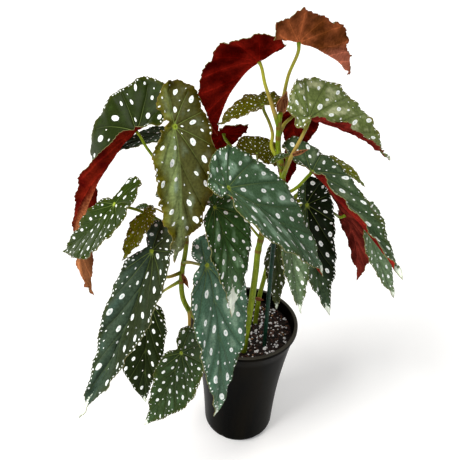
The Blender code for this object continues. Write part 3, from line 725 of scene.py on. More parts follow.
OUTLINE_ANGLES = -polar(*OUTLINE.T)
OUTLINE_REACH = np.hypot(*OUTLINE.T)


def ripple_at(leaf, u, v):
    """The wave of the margin, carried inwards: it grows with the square of the share."""
    angle = -polar(u, v)
    turn = np.interp(angle, OUTLINE_ANGLES, np.arange(len(OUTLINE)))
    reach = np.interp(angle, OUTLINE_ANGLES, OUTLINE_REACH)
    low = np.floor(turn)
    share = turn - low
    share = share * share * (3 - 2 * share)
    first = np.sin(low * RIPPLE_STEP + leaf.length)
    second = np.sin((low + 1) * RIPPLE_STEP + leaf.length)
    fraction = np.minimum(np.hypot(u, v) / reach, 1.1)
    return (first + (second - first) * share) * leaf.wave * leaf.length * fraction ** 2


def blade_points(leaf, u, v):
    """Places on the blade's top face for outline coordinates, in millimetres."""
    heading = math.radians(leaf.heading)
    ahead = np.array((math.cos(heading), math.sin(heading), 0.0))
    left = np.array((-math.sin(heading), math.cos(heading), 0.0))
    up = np.array((0.0, 0.0, 1.0))
    pitch = math.radians(leaf.pitch)
    droop = math.radians(leaf.droop)
    along = np.clip(u, 0.0, 1.0)
    slope = pitch + droop * along
    back = np.minimum(u, 0.0) * leaf.lobe
    reach = (np.sin(slope) - math.sin(pitch)) / droop + back * math.cos(pitch)
    rise = (math.cos(pitch) - np.cos(slope)) / droop + back * math.sin(pitch)
    normal = np.outer(np.cos(slope), up) - np.outer(np.sin(slope), ahead)
    roll = np.radians(leaf.roll + leaf.twist * along)[:, None]
    across = left * np.cos(roll) + normal * np.sin(roll)
    normal = normal * np.cos(roll) - left * np.sin(roll)
    low = v < 0.0
    fade = np.clip(1.0 + u / FOLD_FADES_OVER, 0.0, 1.0)
    fold = np.radians(np.where(low, leaf.narrow_fold * fade, leaf.wide_fold))
    width = blade_widths(leaf, u, low)
    aside = leaf.side * math.radians(leaf.bend) * along ** 2 / 2
    aside = aside + leaf.side * v * width * np.cos(fold)
    lift = np.abs(v) * width * np.sin(fold) + ripple_at(leaf, u, v) / leaf.length
    place = (np.outer(reach, ahead) + np.outer(rise, up) + across * aside[:, None]
             + normal * lift[:, None])
    return np.array(leaf.at) + place * leaf.length


def smooth_route(points, samples):
    """Points read from a smooth curve through the given ones.

    The curve is a Catmull-Rom spline whose knots follow the square root of
    the distances, so that it doesn't swing out where two points are close.
    """
    points = [Vector(point) for point in points]
    ends = [points[0] * 2 - points[1]] + points + [points[-1] * 2 - points[-2]]
    route = []
    for a, b, c, d in zip(ends, ends[1:], ends[2:], ends[3:]):
        first = math.sqrt((b - a).length)
        middle = math.sqrt((c - b).length)
        last = math.sqrt((d - c).length)
        leave = ((b - a) / first - (c - a) / (first + middle) + (c - b) / middle) * middle
        arrive = ((c - b) / middle - (d - b) / (middle + last) + (d - c) / last) * middle
        for i in range(samples):
            t = i / samples
            route.append(b * (2 * t ** 3 - 3 * t ** 2 + 1) + leave * (t ** 3 - 2 * t ** 2 + t)
                         + c * (3 * t ** 2 - 2 * t ** 3) + arrive * (t ** 3 - t ** 2))
    route.append(points[-1])
    return route


def flat_place(leaf, u, v):
    """Outline coordinates laid flat, in millimetres."""
    u = np.asarray(u, dtype=float)
    v = np.asarray(v, dtype=float)
    return np.stack((u, v * blade_widths(leaf, u, v < 0.0)), axis=1) * leaf.length


def unflat(leaf, flat):
    """Outline coordinates of flat places."""
    u = flat[:, 0] / leaf.length
    low = flat[:, 1] < 0.0
    return u, flat[:, 1] / (leaf.length * blade_widths(leaf, u, low))


def toothed_side(points, pitch, height, scallop, draw, tooth):
    """One side of the outline with broad waves and small teeth that lean to the tip."""
    curve = np.array([tuple(p) for p in smooth_route(points, OUTLINE_SAMPLES)])
    steps = np.linalg.norm(np.diff(curve, axis=0), axis=1)
    run = np.concatenate(([0.0], np.cumsum(steps)))
    count = max(int(round(run[-1] / pitch)), 4)
    places = []
    for i in range(count):
        size = height * draw.uniform(*TOOTH_SIZES)
        for share, rise in tooth:
            at = (i + share) / count
            fade = min(1.0, 8.0 * min(at, 1.0 - at))
            places.append((at * run[-1], rise * size * fade))
    at, rise = np.array(places).T
    behind, base, ahead = (np.stack([np.interp(at + shift, run, axis) for axis in curve.T], axis=1)
                           for shift in (-0.4, 0.0, 0.4))
    share = at / run[-1]
    fade = np.clip(7.0 * np.minimum(share, 1.0 - share), 0.0, 1.0)
    waves = sum(part * np.sin(at * 2 * math.pi / (pitch * length) + draw.uniform(0, 6))
                for length, part in SCALLOP_WAVES)
    rise = rise + scallop * fade * waves
    return base + left_of(unit(ahead - behind)) * rise[:, None]


def blade_outline(leaf, draw):
    """The toothed outline laid flat, anticlockwise."""
    scale = min(1.0, leaf.length / TEETH_LENGTH)
    pitch = TOOTH_PITCH * max(scale, LEAST_TEETH_SIZE)
    rises = (TOOTH_HEIGHT * scale, SCALLOP * scale * leaf.ruffle)
    wide = flat_place(leaf, *zip(*WIDE_SIDE, TIP))
    narrow = flat_place(leaf, *zip(TIP, *NARROW_SIDE))
    first = toothed_side(wide, pitch, *rises, draw, TOOTH_FORWARDS)
    second = toothed_side(narrow, pitch, *rises, draw, TOOTH_BACKWARDS)
    return np.concatenate((first, second, narrow[-1:]))[::-1]


def inside(points, outline):
    """Which points lie inside the closed outline."""
    x, y = points[:, 0][:, None], points[:, 1][:, None]
    x0, y0 = outline[:, 0], outline[:, 1]
    x1, y1 = np.roll(x0, -1), np.roll(y0, -1)
    crosses = (y0 > y) != (y1 > y)
    rise = np.where(np.abs(y1 - y0) < 1e-9, 1e-9, y1 - y0)
    return (crosses & (x < x0 + (y - y0) / rise * (x1 - x0))).sum(axis=1) % 2 == 1


def away_from(points, start, end):
    """Distance from each point to the nearest of the segments, and that segment."""
    way = end - start
    size = np.maximum((way ** 2).sum(axis=1), 1e-9)
    best = np.full(len(points), 1e9)
    nearest = np.zeros(len(points), dtype=int)
    for k in range(0, len(start), 64):
        part = slice(k, k + 64)
        gap = points[:, None, :] - start[part]
        share = np.clip((gap * way[part]).sum(axis=2) / size[part], 0.0, 1.0)
        gap = np.linalg.norm(gap - share[:, :, None] * way[part], axis=2)
        closest = gap.argmin(axis=1)
        value = gap[np.arange(len(points)), closest]
        better = value < best
        best[better] = value[better]
        nearest[better] = closest[better] + k
    return best, nearest


def from_outline(points, outline):
    """Distance from each point to the closed outline, and the nearest side of it."""
    return away_from(points, outline, np.roll(outline, -1, axis=0))


def net_size(leaf):
    """The scale of the net's steps, never too fine."""
    return max(leaf.length / NET_LENGTH, LEAST_NET_SIZE)


def vein_lines(leaf):
    """Each vein as flat points, with its strength at each of them."""
    lines = []
    for start, bend, end, strength in VEINS:
        a, b, c = flat_place(leaf, *zip(start, bend, end))
        count = max(int(np.linalg.norm(c - a) / (VEIN_STEP * net_size(leaf))), 3)
        t = np.linspace(0.0, 1.0, count)[:, None]
        line = a * (1 - t) ** 2 + b * 2 * t * (1 - t) + c * t ** 2
        lines.append((line, strength * (1.0 - 0.7 * t[:, 0])))
    return lines


def segments(veins):
    """Where each piece of each vein starts and stops."""
    return [np.concatenate([line[part] for line, _ in veins])
            for part in (slice(-1), slice(1, None))]


def has_room(x, y, radius, gap, spots):
    """Whether a spot of this radius keeps the gap from the others."""
    return all(math.hypot(x - s[0], y - s[1]) > radius + s[2] + gap for s in spots)


def throw_spots(leaf, look, outline, veins, draw):
    """Oval spots: the large ones between the veins, and small ones in what room is left.

    Each is (x, y, half length, half width, turn).
    """
    scale = min(leaf.length / SPOTS_LENGTH, 1.15) ** 0.8 * look.spots
    low, high = outline.min(axis=0), outline.max(axis=0)
    starts, stops = segments(veins)
    spots = []
    for size, gap, tries in SPOT_KINDS:
        thrown = np.array([(draw.uniform(low[0], high[0]), draw.uniform(low[1], high[1]))
                           for _ in range(tries)])
        rim = from_outline(thrown, outline)[0]
        vein, nearest = away_from(thrown, starts, stops)
        free = inside(thrown, outline)
        for i, (x, y) in enumerate(thrown):
            radius = size * scale * draw.uniform(*SPOT_SIZES)
            if not free[i] or rim[i] < radius + SPOT_RIM_ROOM * scale:
                continue
            if vein[i] < radius * 1.15 + SPOT_VEIN_ROOM:
                continue
            if math.hypot(x, y) < SPOT_STALK_ROOM * scale:
                continue
            if not has_room(x, y, radius, gap * scale, spots):
                continue
            way = stops[nearest[i]] - starts[nearest[i]]
            turn = math.atan2(way[1], way[0]) + draw.uniform(*SPOT_TURNS)
            if size < SPOT_KINDS[0][0] and draw.random() > look.share:
                continue
            length = radius * draw.uniform(*SPOT_LENGTHS)
            width = radius * draw.uniform(*SPOT_WIDTHS)
            spots.append((x, y, length, width, turn))
    return spots + margin_dots(look, outline, starts, stops, spots, scale, draw)


def margin_dots(look, outline, starts, stops, spots, scale, draw):
    """A small dot inside most teeth."""
    dots = []
    for i in range(2, len(outline) - 2, 4):
        if draw.random() > DOTS_KEPT * look.share:
            continue
        along = outline[i + 2] - outline[i - 2]
        if np.linalg.norm(along) < 1e-6:
            continue
        along = along / np.linalg.norm(along)
        x, y = outline[i] + np.array((-along[1], along[0])) * DOT_INSET * max(scale, LEAST_DOT_SIZE)
        radius = DOT_RADIUS * scale * draw.uniform(*DOT_SIZES)
        point = np.array([(x, y)])
        if not inside(point, outline)[0]:
            continue
        if from_outline(point, outline)[0][0] < radius + DOT_RIM_ROOM:
            continue
        if away_from(point, starts, stops)[0][0] < radius + DOT_VEIN_ROOM:
            continue
        if has_room(x, y, radius, DOT_ROOM, spots + dots):
            turn = math.atan2(along[1], along[0]) + draw.uniform(*DOT_TURNS)
            dots.append((x, y, radius * 1.15, radius * 0.9, turn))
    return dots


def spread(candidates, taken, gap):
    """The candidates that keep the gap from the taken points and from each other."""
    cells = {}
    for place in taken:
        cells.setdefault((int(place[0] // gap), int(place[1] // gap)), []).append(place)
    kept = []
    for place in candidates:
        x, y = int(place[0] // gap), int(place[1] // gap)
        near = [p for i in (x - 1, x, x + 1) for k in (y - 1, y, y + 1)
                for p in cells.get((i, k), ())]
        if all(math.hypot(p[0] - place[0], p[1] - place[1]) > gap for p in near):
            kept.append((float(place[0]), float(place[1])))
            cells.setdefault((x, y), []).append(kept[-1])
    return kept


def spot_ring(spot, draw):
    """The corners of an uneven oval."""
    x, y, length, width, turn = spot
    count = next(corners for size, corners in SPOT_CORNERS if length > size)
    ring = []
    for i in range(count):
        angle = 2 * math.pi * i / count
        swell = draw.uniform(*SPOT_SWELL)
        a, b = length * swell * math.cos(angle), width * swell * math.sin(angle)
        ring.append((x + a * math.cos(turn) - b * math.sin(turn),
                     y + a * math.sin(turn) + b * math.cos(turn)))
    return ring


def loose_points(leaf, outline, veins, taken):
    """Points beside the veins, inside the margin and on a grid, clear of the taken ones."""
    shoulders = []
    for line, _ in veins:
        out = left_of(unit(np.gradient(line, axis=0))) * VEIN_SHOULDER * net_size(leaf)
        shoulders += [*(line + out)[1:], *(line - out)[1:]]
    step = GRID_STEP * min(max(leaf.length / NET_LENGTH, LEAST_GRID_SIZE), 1.0)
    low, high = outline.min(axis=0), outline.max(axis=0)
    grid = []
    for row in range(int((high[1] - low[1]) / (step * GRID_ROW)) + 1):
        y = low[1] + row * step * GRID_ROW
        for k in range(int((high[0] - low[0]) / step) + 1):
            grid.append((low[0] + (k + 0.5 * (row % 2)) * step, y))
    along = unit(np.roll(outline, -2, axis=0) - np.roll(outline, 2, axis=0))
    inner = outline + left_of(along) * 0.9 * min(step / 2.0, 1.0)
    loose = np.concatenate((np.array(shoulders), inner, np.array(grid)))
    clear = inside(loose, outline) & (from_outline(loose, outline)[0] > RIM_CLEARANCE * step)
    return spread(loose[clear], taken, POINT_CLEARANCE * step)


@dataclass
class Net:
    """A flat blade in triangles.

    flat: the corners. tris: the triangles, and white: which of them are spots. rim:
    the corners along the outline. For each corner, edge and run: its distance from
    the outline, and how far along it the nearest place is. vein and strength: its
    distance from the nearest vein, and that vein's strength. spot: 0 outside the
    spots and on their outlines, and up to 1 in the middle of a large one.
    """
    flat: np.ndarray
    tris: list
    white: list
    rim: list
    edge: np.ndarray
    run: np.ndarray
    vein: np.ndarray
    strength: np.ndarray
    spot: np.ndarray


def blade_net(leaf, look, draw):
    """The flat blade cut into triangles along its outline, veins and spots."""
    outline = blade_outline(leaf, draw)
    veins = vein_lines(leaf)
    points = [tuple(p) for p in outline]
    faces = [list(range(len(outline)))]
    middles = {}
    for spot in throw_spots(leaf, look, outline, veins, draw):
        ring = spot_ring(spot, draw)
        faces.append(list(range(len(points), len(points) + len(ring))))
        points += ring
        if spot[2] > SPOT_MIDDLE_FROM:
            middles[len(points)] = min(spot[2] / 3.0, 1.0)
            points.append(spot[:2])
    edges = []
    for line, _ in veins:
        for k, place in enumerate(line):
            if k == 0 and place[0] != 0.0:
                continue
            points.append(tuple(place))
            if k > 1:
                edges.append((len(points) - 2, len(points) - 1))
    points += loose_points(leaf, outline, veins, points)
    result = delaunay_2d_cdt([Vector(p) for p in points], edges, faces, 1, 1e-4, True)
    verts, _, tris, from_points, _, from_faces = result
    flat = np.array([tuple(p) for p in verts])
    kept = [k for k, source in enumerate(from_faces) if 0 in source]
    corner_of = {k: corner for corner, source in enumerate(from_points) for k in source}
    edge, nearest = from_outline(flat, outline)
    sides = np.linalg.norm(np.roll(outline, -1, axis=0) - outline, axis=1)
    run = np.concatenate(([0.0], np.cumsum(sides)))[nearest]
    vein, nearest = away_from(flat, *segments(veins))
    strengths = np.concatenate([strength[:-1] for _, strength in veins])
    spot = np.array([max((middles.get(k, 0.0) for k in source), default=0.0)
                     for source in from_points])
    return Net(flat, [tuple(tris[k]) for k in kept],
               [any(face > 0 for face in from_faces[k]) for k in kept],
               [corner_of[k] for k in range(len(outline))],
               edge, run, vein, strengths[nearest], spot)


def corner_normals(places, tris):
    """The surface's direction at each corner, from the triangles around it."""
    tris = np.array(tris)
    a, b, c = (places[tris[:, k]] for k in range(3))
    normals = np.zeros_like(places)
    for k in range(3):
        np.add.at(normals, tris[:, k], np.cross(b - a, c - a))
    return unit(normals)


def smooth_mesh(name, corners, faces):
    """A smooth mesh from corners in millimetres."""
    mesh = bpy.data.meshes.new(name)
    mesh.from_pydata((np.asarray(corners) * MM).tolist(), [], faces)
    mesh.shade_smooth()
    return mesh


def add_object(name, data):
    """An object in the scene."""
    made = bpy.data.objects.new(name, data)
    bpy.context.scene.collection.objects.link(made)
    return made


def add_piece(mesh, materials, slot, *replaced):
    """A piece with its mesh's name, in the place of the named nodes."""
    for material in materials:
        mesh.materials.append(material)
    piece = add_object(mesh.name, mesh)
    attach(piece, "root")
    if replaced:
        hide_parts(*replaced)


def store(mesh, name, values):
    """Keeps a number for each of the mesh's corners, or a vector where values has rows."""
    kind, field = ("FLOAT_VECTOR", "vector") if values.ndim == 2 else ("FLOAT", "value")
    layer = mesh.attributes.new(name, kind, "POINT")
    layer.data.foreach_set(field, values.astype(np.float32).ravel())


def blade_relief(leaf, index, net, size, draw):
    """How far the top and the lower face stand off the smooth blade at each corner."""
    away = np.hypot(*net.flat.T) / (STALK_CLEARANCE * size)
    ribs = np.exp(-(net.vein / (VEIN_WIDTH * size)) ** 2) * net.strength * size
    ribs *= np.clip(away, 0.0, 1.0)
    pillow = (1.0 - np.exp(-net.vein / (PILLOW_SPAN * size))) * PILLOW_HEIGHT * size
    pucker = np.array([noise.noise(Vector((x * PUCKER, y * PUCKER, index * PUCKER_STEP)))
                       for x, y in net.flat]) * PUCKER_HEIGHT * size
    phase = draw.uniform(0, 6)
    turns = net.run * 2 * math.pi / (RUFFLE_LENGTH * size)
    ruffle = np.sin(turns + phase)
    ruffle += SHORT_RUFFLE_SHARE * np.sin(turns / SHORT_RUFFLE_LENGTH + phase * 2)
    ruffle *= RUFFLE_HEIGHT * size * leaf.ruffle * np.exp(-net.edge / (RUFFLE_SPAN * size))
    bed = (pucker + ruffle) * np.clip(away - 0.3, 0.0, 1.0)
    inner = np.clip(net.edge / RELIEF_MARGIN, 0.0, 1.0)
    top = bed + (pillow - ribs * GROOVE_DEPTH) * inner
    lower = bed + (pillow - ribs * RIB_HEIGHT) * inner - BLADE_THICKNESS
    return top, lower


def build_blade(index, leaf):
    """A closed blade: the top face, the lower face and the strip between them.

    Returns the direction that the blade faces at its stalk.
    """
    look = LOOKS[leaf.look]
    draw = random.Random(BLADE_SEED + index)
    net = blade_net(leaf, look, draw)
    size = min(leaf.length / RELIEF_LENGTH, 1.1)
    places = blade_points(leaf, *unflat(leaf, net.flat))
    tris = net.tris if leaf.side > 0 else [t[::-1] for t in net.tris]
    normals = corner_normals(places, tris)
    sides = [places + normals * height[:, None]
             for height in blade_relief(leaf, index, net, size, draw)]
    count = len(places)
    faces = tris + [tuple(k + count for k in t[::-1]) for t in tris]
    for a, b in zip(net.rim, net.rim[1:] + net.rim[:1]):
        strip = (a, a + count, b + count, b)
        faces.append(strip if leaf.side > 0 else strip[::-1])
    mesh = smooth_mesh(leaf.name + "_fine", np.concatenate(sides), faces)
    kinds = [SPOT if white else TOP for white in net.white]
    kinds += [UNDER] * len(tris) + [RIM] * len(net.rim)
    mesh.polygons.foreach_set("material_index", kinds)
    mesh.set_sharp_from_angle(angle=math.radians(BLADE_SHARP_DEG))
    along, aside = net.flat.T
    measures = {
        "edge": net.edge,
        "vein": net.vein / size,
        "spot": net.spot,
        "tip": along / leaf.length - (1.0 - look.tip) - TIP_WEDGE * np.abs(aside),
        "place": np.column_stack((net.flat, np.full(count, index * PATTERN_STEP))),
        "from_stalk": np.column_stack((net.flat, np.zeros(count))) / size,
    }
    for name, values in measures.items():
        store(mesh, name, np.concatenate((values, values)))
    materials = [blade_tops[leaf.look], blade_unders[leaf.look], spot_material, rim_material]
    add_piece(mesh, materials, look.slot, leaf.name)
    return Vector(normals[np.argmin(np.hypot(along, aside))])


def tube(route, radii, sides):
    """Corners and faces of a tube along a route, with blunt points for ends."""
    route = np.array([tuple(p) for p in route])
    way = unit(np.gradient(route, axis=0))
    side = np.cross(way[0], (0.3, 0.2, 0.93))
    turns = np.linspace(0, 2 * math.pi, sides, endpoint=False)
    corners = []
    for place, ahead, radius in zip(route, way, radii):
        side = side - ahead * side.dot(ahead)
        side /= np.linalg.norm(side)
        other = np.cross(ahead, side)
        ring = np.outer(np.cos(turns), side) + np.outer(np.sin(turns), other)
        corners.append(place + ring * radius)
    corners += [[route[0] - way[0] * radii[0] * 0.5], [route[-1] + way[-1] * radii[-1] * 0.5]]
    last = (len(route) - 1) * sides
    faces = []
    for k in range(sides):
        j = (k + 1) % sides
        faces += [(i + k, i + j, i + sides + j, i + sides + k) for i in range(0, last, sides)]
        faces += [(last + sides, j, k), (last + sides + 1, last + k, last + j)]
    return np.concatenate(corners), faces


def around(values, sides):
    """A tube's values ring by ring, written for each of its corners."""
    return np.concatenate((np.repeat(values, sides), (values[0], values[-1])))


def cane_material():
    """Olive-green cane: lengthwise streaks, pale flecks, and brown at the nodes."""
    s = Shading("cane_green", 0.45, 0.12)
    place = s.place()
    streaks = s.noise(s.stretch(place, (900.0, 900.0, 60.0)), 1.0)
    broad = s.noise(place, 28.0, 2.0)
    green = s.blend(streaks, 0.3, 0.7, "#5c7408", "#88961c")
    green = s.mix(s.span(broad, 0.4, 0.7, 0.0, 0.5), green, "#4a6406")
    flecks = s.cells(s.stretch(place, (520.0, 520.0, 190.0)), 1.0)
    green = s.mix(s.span(flecks, 0.1, 0.2, 0.6, 0.0), green, "#b0b878")
    warm = s.blend(broad, 0.3, 0.7, "#aeac38", "#aa9048")
    tan = s.math("MULTIPLY_ADD", broad, 0.5, s.attribute("tan"))
    green = s.blend(tan, 0.55, 1.45, green, warm)
    brown = s.blend(streaks, 0.3, 0.7, "#642e14", "#80582a")
    node = s.math("MULTIPLY_ADD", broad, 0.4, s.attribute("node"))
    s.base(s.mix(s.span(node, 0.6, 1.2, 0.0, 0.8), green, brown))
    s.roughness(s.span(streaks, 0.2, 0.8, 0.35, 0.55))
    s.bump(streaks, 0.3, 0.0005)
    return s.material


def ribbed_material(name, roughness, specular, stretch, detail, low, high, strength, depth):
    """Two colours in lengthwise ribs, for the dry stipules and the stake's coating."""
    s = Shading(name, roughness, specular)
    ribs = s.noise(s.stretch(s.place(), stretch), 1.0, detail)
    s.base(s.blend(ribs, 0.3, 0.7, low, high))
    s.bump(ribs, strength, depth)
    return s.material


def stalk_route(leaf, start, passes, normal, scale):
    """From the cane to the blade, which the stalk meets square from below."""
    at = Vector(leaf.at)
    last = Vector(passes[-1]) if passes else start
    approach = ((last - at).normalized() - normal).normalized()
    points = [start, *passes, at + approach * STALK_END_LENGTH * scale, at - normal * STALK_SINK]
    return smooth_route(points, STALK_SAMPLES)


def build_stem(name, cane_points, radii, stalks, bare_nodes):
    """A cane with swollen, ringed nodes and its leaf stalks, in one mesh."""
    route = smooth_route(cane_points, CANE_SAMPLES)
    route = [route[0] - Vector((0.0, 0.0, CANE_SUNK))] + route
    heights = np.array([p.z for p in route])
    node = np.zeros(len(route))
    for height in [height for height, _ in stalks.values()] + bare_nodes:
        node = np.maximum(node, np.exp(-((heights - height + 1.0) / NODE_SPAN) ** 2))
    width = np.linspace(*radii, len(route)) * (1.0 + NODE_SWELL * node)
    parts = [(route, width, node, np.zeros(len(route)), CANE_SIDES)]
    draw = random.Random(STALK_SEED)
    for leaf_name, (height, passes) in stalks.items():
        leaf = leaf_by_name[leaf_name]
        start = next((a.lerp(b, (height - a.z) / (b.z - a.z)) for a, b in zip(route, route[1:])
                      if a.z <= height <= b.z), route[-1])
        scale = SMALL_STALK_SCALE if leaf.length < SMALL_BLADE else 1.0
        way = stalk_route(leaf, start, passes, blade_normals[leaf_name], scale)
        share = np.linspace(0.0, 1.0, len(way))
        size = STALK_RADIUS + (STALK_ROOT_RADIUS - STALK_RADIUS) * (1.0 - share) ** 4
        size = (size + STALK_FLARE * np.clip(share * 6 - 5, 0, 1)) * scale
        tan = draw.uniform(*STALK_TAN) + 0.5 * np.sin(share * 3.0 + draw.random() * 3)
        tan = np.clip(tan, 0, 1) * np.clip(share * 6, 0, 1)
        foot_ring = np.exp(-(share * len(way) / 3.0) ** 2) * 0.5
        parts.append((way, size, foot_ring, tan, STALK_SIDES))
    corners, faces, nodes, tans = [], [], [], []
    for way, size, ring, tan, sides in parts:
        own, own_faces = tube(way, size, sides)
        faces += [tuple(k + len(corners) for k in face) for face in own_faces]
        corners += own.tolist()
        nodes.append(around(ring, sides))
        tans.append(around(tan, sides))
    mesh = smooth_mesh(name + "_fine", corners, faces)
    store(mesh, "node", np.concatenate(nodes))
    store(mesh, "tan", np.concatenate(tans))
    add_piece(mesh, [cane], "stem_green", name)


def build_stipule(name, foot, tip, width):
    """A dry, keeled scale that wraps, then narrows to a ragged tip."""
    foot, tip = Vector(foot), Vector(tip)
    way = tip - foot
    side = way.cross(Vector((0.2, 1.0, 0.1))).normalized()
    out = side.cross(way).normalized()
    rows, columns = STIPULE_ROWS, STIPULE_COLUMNS
    corners = []
    for thinner in (0.0, STIPULE_THICKNESS):
        for i in range(rows):
            share = i / (rows - 1)
            swell = width * (0.62 + 0.5 * math.sin(math.pi * min(share * 1.15, 1.0)))
            swell *= 1.0 - 0.85 * share ** 3
            for k in range(columns):
                turn = (k / (columns - 1) - 0.5) * math.radians(STIPULE_WRAP_DEG)
                place = foot + way * share * (1.0 + 0.05 * math.sin(k * 2.3) * share)
                place += (side * math.sin(turn) + out * math.cos(turn)) * (swell - thinner)
                corners.append(tuple(place))
    size = rows * columns
    faces = []
    for i in range(0, size - columns, columns):
        for a in range(i, i + columns - 1):
            quad = (a, a + 1, a + columns + 1, a + columns)
            faces += [quad, tuple(q + size for q in quad[::-1])]
    rim = list(range(columns)) + list(range(2 * columns - 1, size, columns))
    rim += list(range(size - 2, size - columns - 1, -1))
    rim += list(range(size - 2 * columns, 0, -columns))
    for a, b in zip(rim, rim[1:] + rim[:1]):
        faces.append((b, a, a + size, b + size))
    add_piece(smooth_mesh(name + "_fine", corners, faces), [sheath], "sheath_brown", name)


def turned_mesh(name, profile, steps, height_at=None):
    """A closed turned body. The profile runs in (radius, height), millimetres."""
    bm = bmesh.new()
    rings = []
    for radius, height in profile:
        ring = []
        for i in range(steps if radius else 1):
            x = radius * math.cos(2 * math.pi * i / steps)
            y = radius * math.sin(2 * math.pi * i / steps)
            z = height_at(x, y, height) if height_at else height
            ring.append(bm.verts.new((x * MM, y * MM, z * MM)))
        rings.append(ring)
    for upper, lower in zip(rings, rings[1:]):
        for i in range(max(len(upper), len(lower)) if len(upper) + len(lower) > 2 else 0):
            k = (i + 1) % steps
            if len(upper) == 1:
                bm.faces.new((upper[0], lower[i], lower[k]))
            elif len(lower) == 1:
                bm.faces.new((upper[i], lower[0], upper[k]))
            else:
                bm.faces.new((upper[i], lower[i], lower[k], upper[k]))
    bmesh.ops.remove_doubles(bm, verts=bm.verts[:], dist=1e-6)
    bmesh.ops.recalc_face_normals(bm, faces=bm.faces[:])
    return finished(bm, name)


def finished(bm, name):
    """The bmesh as a mesh, and the bmesh freed."""
    mesh = bpy.data.meshes.new(name)
    bm.to_mesh(mesh)
    bm.free()
    return mesh


def arc(centre, radius, start_deg, end_deg, count):
    """Points along a circle's arc."""
    points = []
    for i in range(count + 1):
        angle = math.radians(start_deg + (end_deg - start_deg) * i / count)
        points.append((centre[0] + radius * math.cos(angle), centre[1] + radius * math.sin(angle)))
    return points


def wall_radius(height):
    """The pot's outer radius: a cone that is slightly hollow."""
    share = (height - FOOT_ROUNDING) / (POT_HEIGHT - RIM_DEPTH - FOOT_ROUNDING)
    straight = FOOT_RADIUS + (WALL_RADIUS_TOP - FOOT_RADIUS) * share
    return straight - WALL_HOLLOW * math.sin(math.pi * share)


def pot_material():
    """Black moulded plastic: satin, with faint flow streaks, dust and scuffs, and a painted
    highlight along the lip.
    """
    s = Shading("pot_black", 0.3, 0.015)
    place = s.place()
    streaks = s.noise(s.stretch(place, (40.0, 40.0, 6.0)), 1.0, 4.0)
    speckle = s.noise(place, 900.0)
    black = s.blend(streaks, 0.35, 0.7, "#030302", "#0e0b05")
    black = s.mix(s.span(s.cells(place, 260.0), 0.03, 0.09, 0.2, 0.0), black, "#3a342c")
    # Painted highlight: a pale band along the top of the rounded lip.
    lip = s.span(s.axis(place, "Z"), (POT_HEIGHT - 1.2) * MM, (POT_HEIGHT - 0.4) * MM, 0.0, 0.35)
    s.base(s.mix(lip, black, "#6a675c"))
    s.roughness(s.math("MULTIPLY_ADD", speckle, 0.06, s.span(streaks, 0.3, 0.7, 0.24, 0.36)))
    s.bump(speckle, 0.12, 0.0003)
    s.bump(streaks, 0.08, 0.001)
    return s.material


def cut_drain(mesh, angle):
    """A half-round notch through the foot's edge, cut with a lying cylinder."""
    bm = bmesh.new()
    place = Vector((FOOT_RADIUS * math.cos(angle), FOOT_RADIUS * math.sin(angle), 0.0)) * MM
    turn = Matrix.Rotation(angle, 4, "Z") @ Matrix.Rotation(math.pi / 2, 4, "Y")
    bmesh.ops.create_cone(bm, cap_ends=True, segments=28, radius1=DRAIN_RADIUS * MM,
                          radius2=DRAIN_RADIUS * MM, depth=DRAIN_LENGTH * MM,
                          matrix=Matrix.Translation(place) @ turn)
    tool_mesh = finished(bm, "drain_tool")
    tool = add_object("drain_tool", tool_mesh)
    body = add_object("drain_body", mesh)
    cutter = body.modifiers.new("notch", "BOOLEAN")
    cutter.operation = "DIFFERENCE"
    cutter.solver = "EXACT"
    cutter.object = tool
    graph = bpy.context.evaluated_depsgraph_get()
    cut = bpy.data.meshes.new_from_object(body.evaluated_get(graph))
    name = mesh.name
    for made in (tool, body):
        bpy.data.objects.remove(made)
    for made in (tool_mesh, mesh):
        bpy.data.meshes.remove(made)
    cut.name = name
    return cut


def pot_profile():
    """The pot's section, from the lip down outside and up again inside."""
    lip = RIM_RADIUS - WALL_RADIUS_TOP
    wall_top = POT_HEIGHT - RIM_DEPTH
    inner_top = WALL_RADIUS_TOP - WALL
    foot = FOOT_RADIUS - FOOT_ROUNDING
    profile = arc((RIM_RADIUS - LIP_ROUNDING, POT_HEIGHT - LIP_ROUNDING), LIP_ROUNDING, 90, 0, 6)
    profile.append((RIM_RADIUS, wall_top + lip * 1.2))
    profile += arc((RIM_RADIUS - STEP_ROUNDING, wall_top + lip), STEP_ROUNDING, -10, -50, 3)
    profile.append((WALL_RADIUS_TOP, wall_top))
    profile += [(wall_radius(h), float(h)) for h in range(150, WALL_STEP, -WALL_STEP)]
    profile += arc((foot, FOOT_ROUNDING), FOOT_ROUNDING, 0, -90, 10)
    profile += [(0.0, 0.0), (0.0, WALL), (foot, WALL)]
    profile += [(wall_radius(h) - WALL, float(h)) for h in range(WALL_STEP, 160, WALL_STEP)]
    profile += [(inner_top, wall_top), (inner_top + 0.2, POT_HEIGHT - 0.6),
                (inner_top + 0.8, POT_HEIGHT), (RIM_RADIUS - LIP_ROUNDING, POT_HEIGHT)]
    return profile


def build_pot():
    """The turned pot with its drain notches."""
    mesh = turned_mesh("pot_fine", pot_profile(), POT_STEPS)
    for i in range(DRAIN_COUNT):
        mesh = cut_drain(mesh, math.radians(DRAIN_FIRST_DEG + 360.0 * i / DRAIN_COUNT))
    mesh.shade_smooth()
    mesh.set_sharp_from_angle(angle=math.radians(POT_SHARP_DEG))
    add_piece(mesh, [pot_material()], "pot_plastic", "pot")


def soil_material():
    """Dark brown mix with darker crumbs."""
    s = Shading("soil_dark", 0.95, 0.3)
    place = s.place()
    crumbs = s.cells(place, 420.0)
    brown = s.blend(s.noise(place, 120.0, 4.0), 0.35, 0.65, "#14100c", "#2c2018")
    s.base(s.mix(s.span(crumbs, 0.2, 0.6, 0.0, 0.5), brown, "#120a08"))
    s.bump(crumbs, 0.9, 0.002)
    return s.material


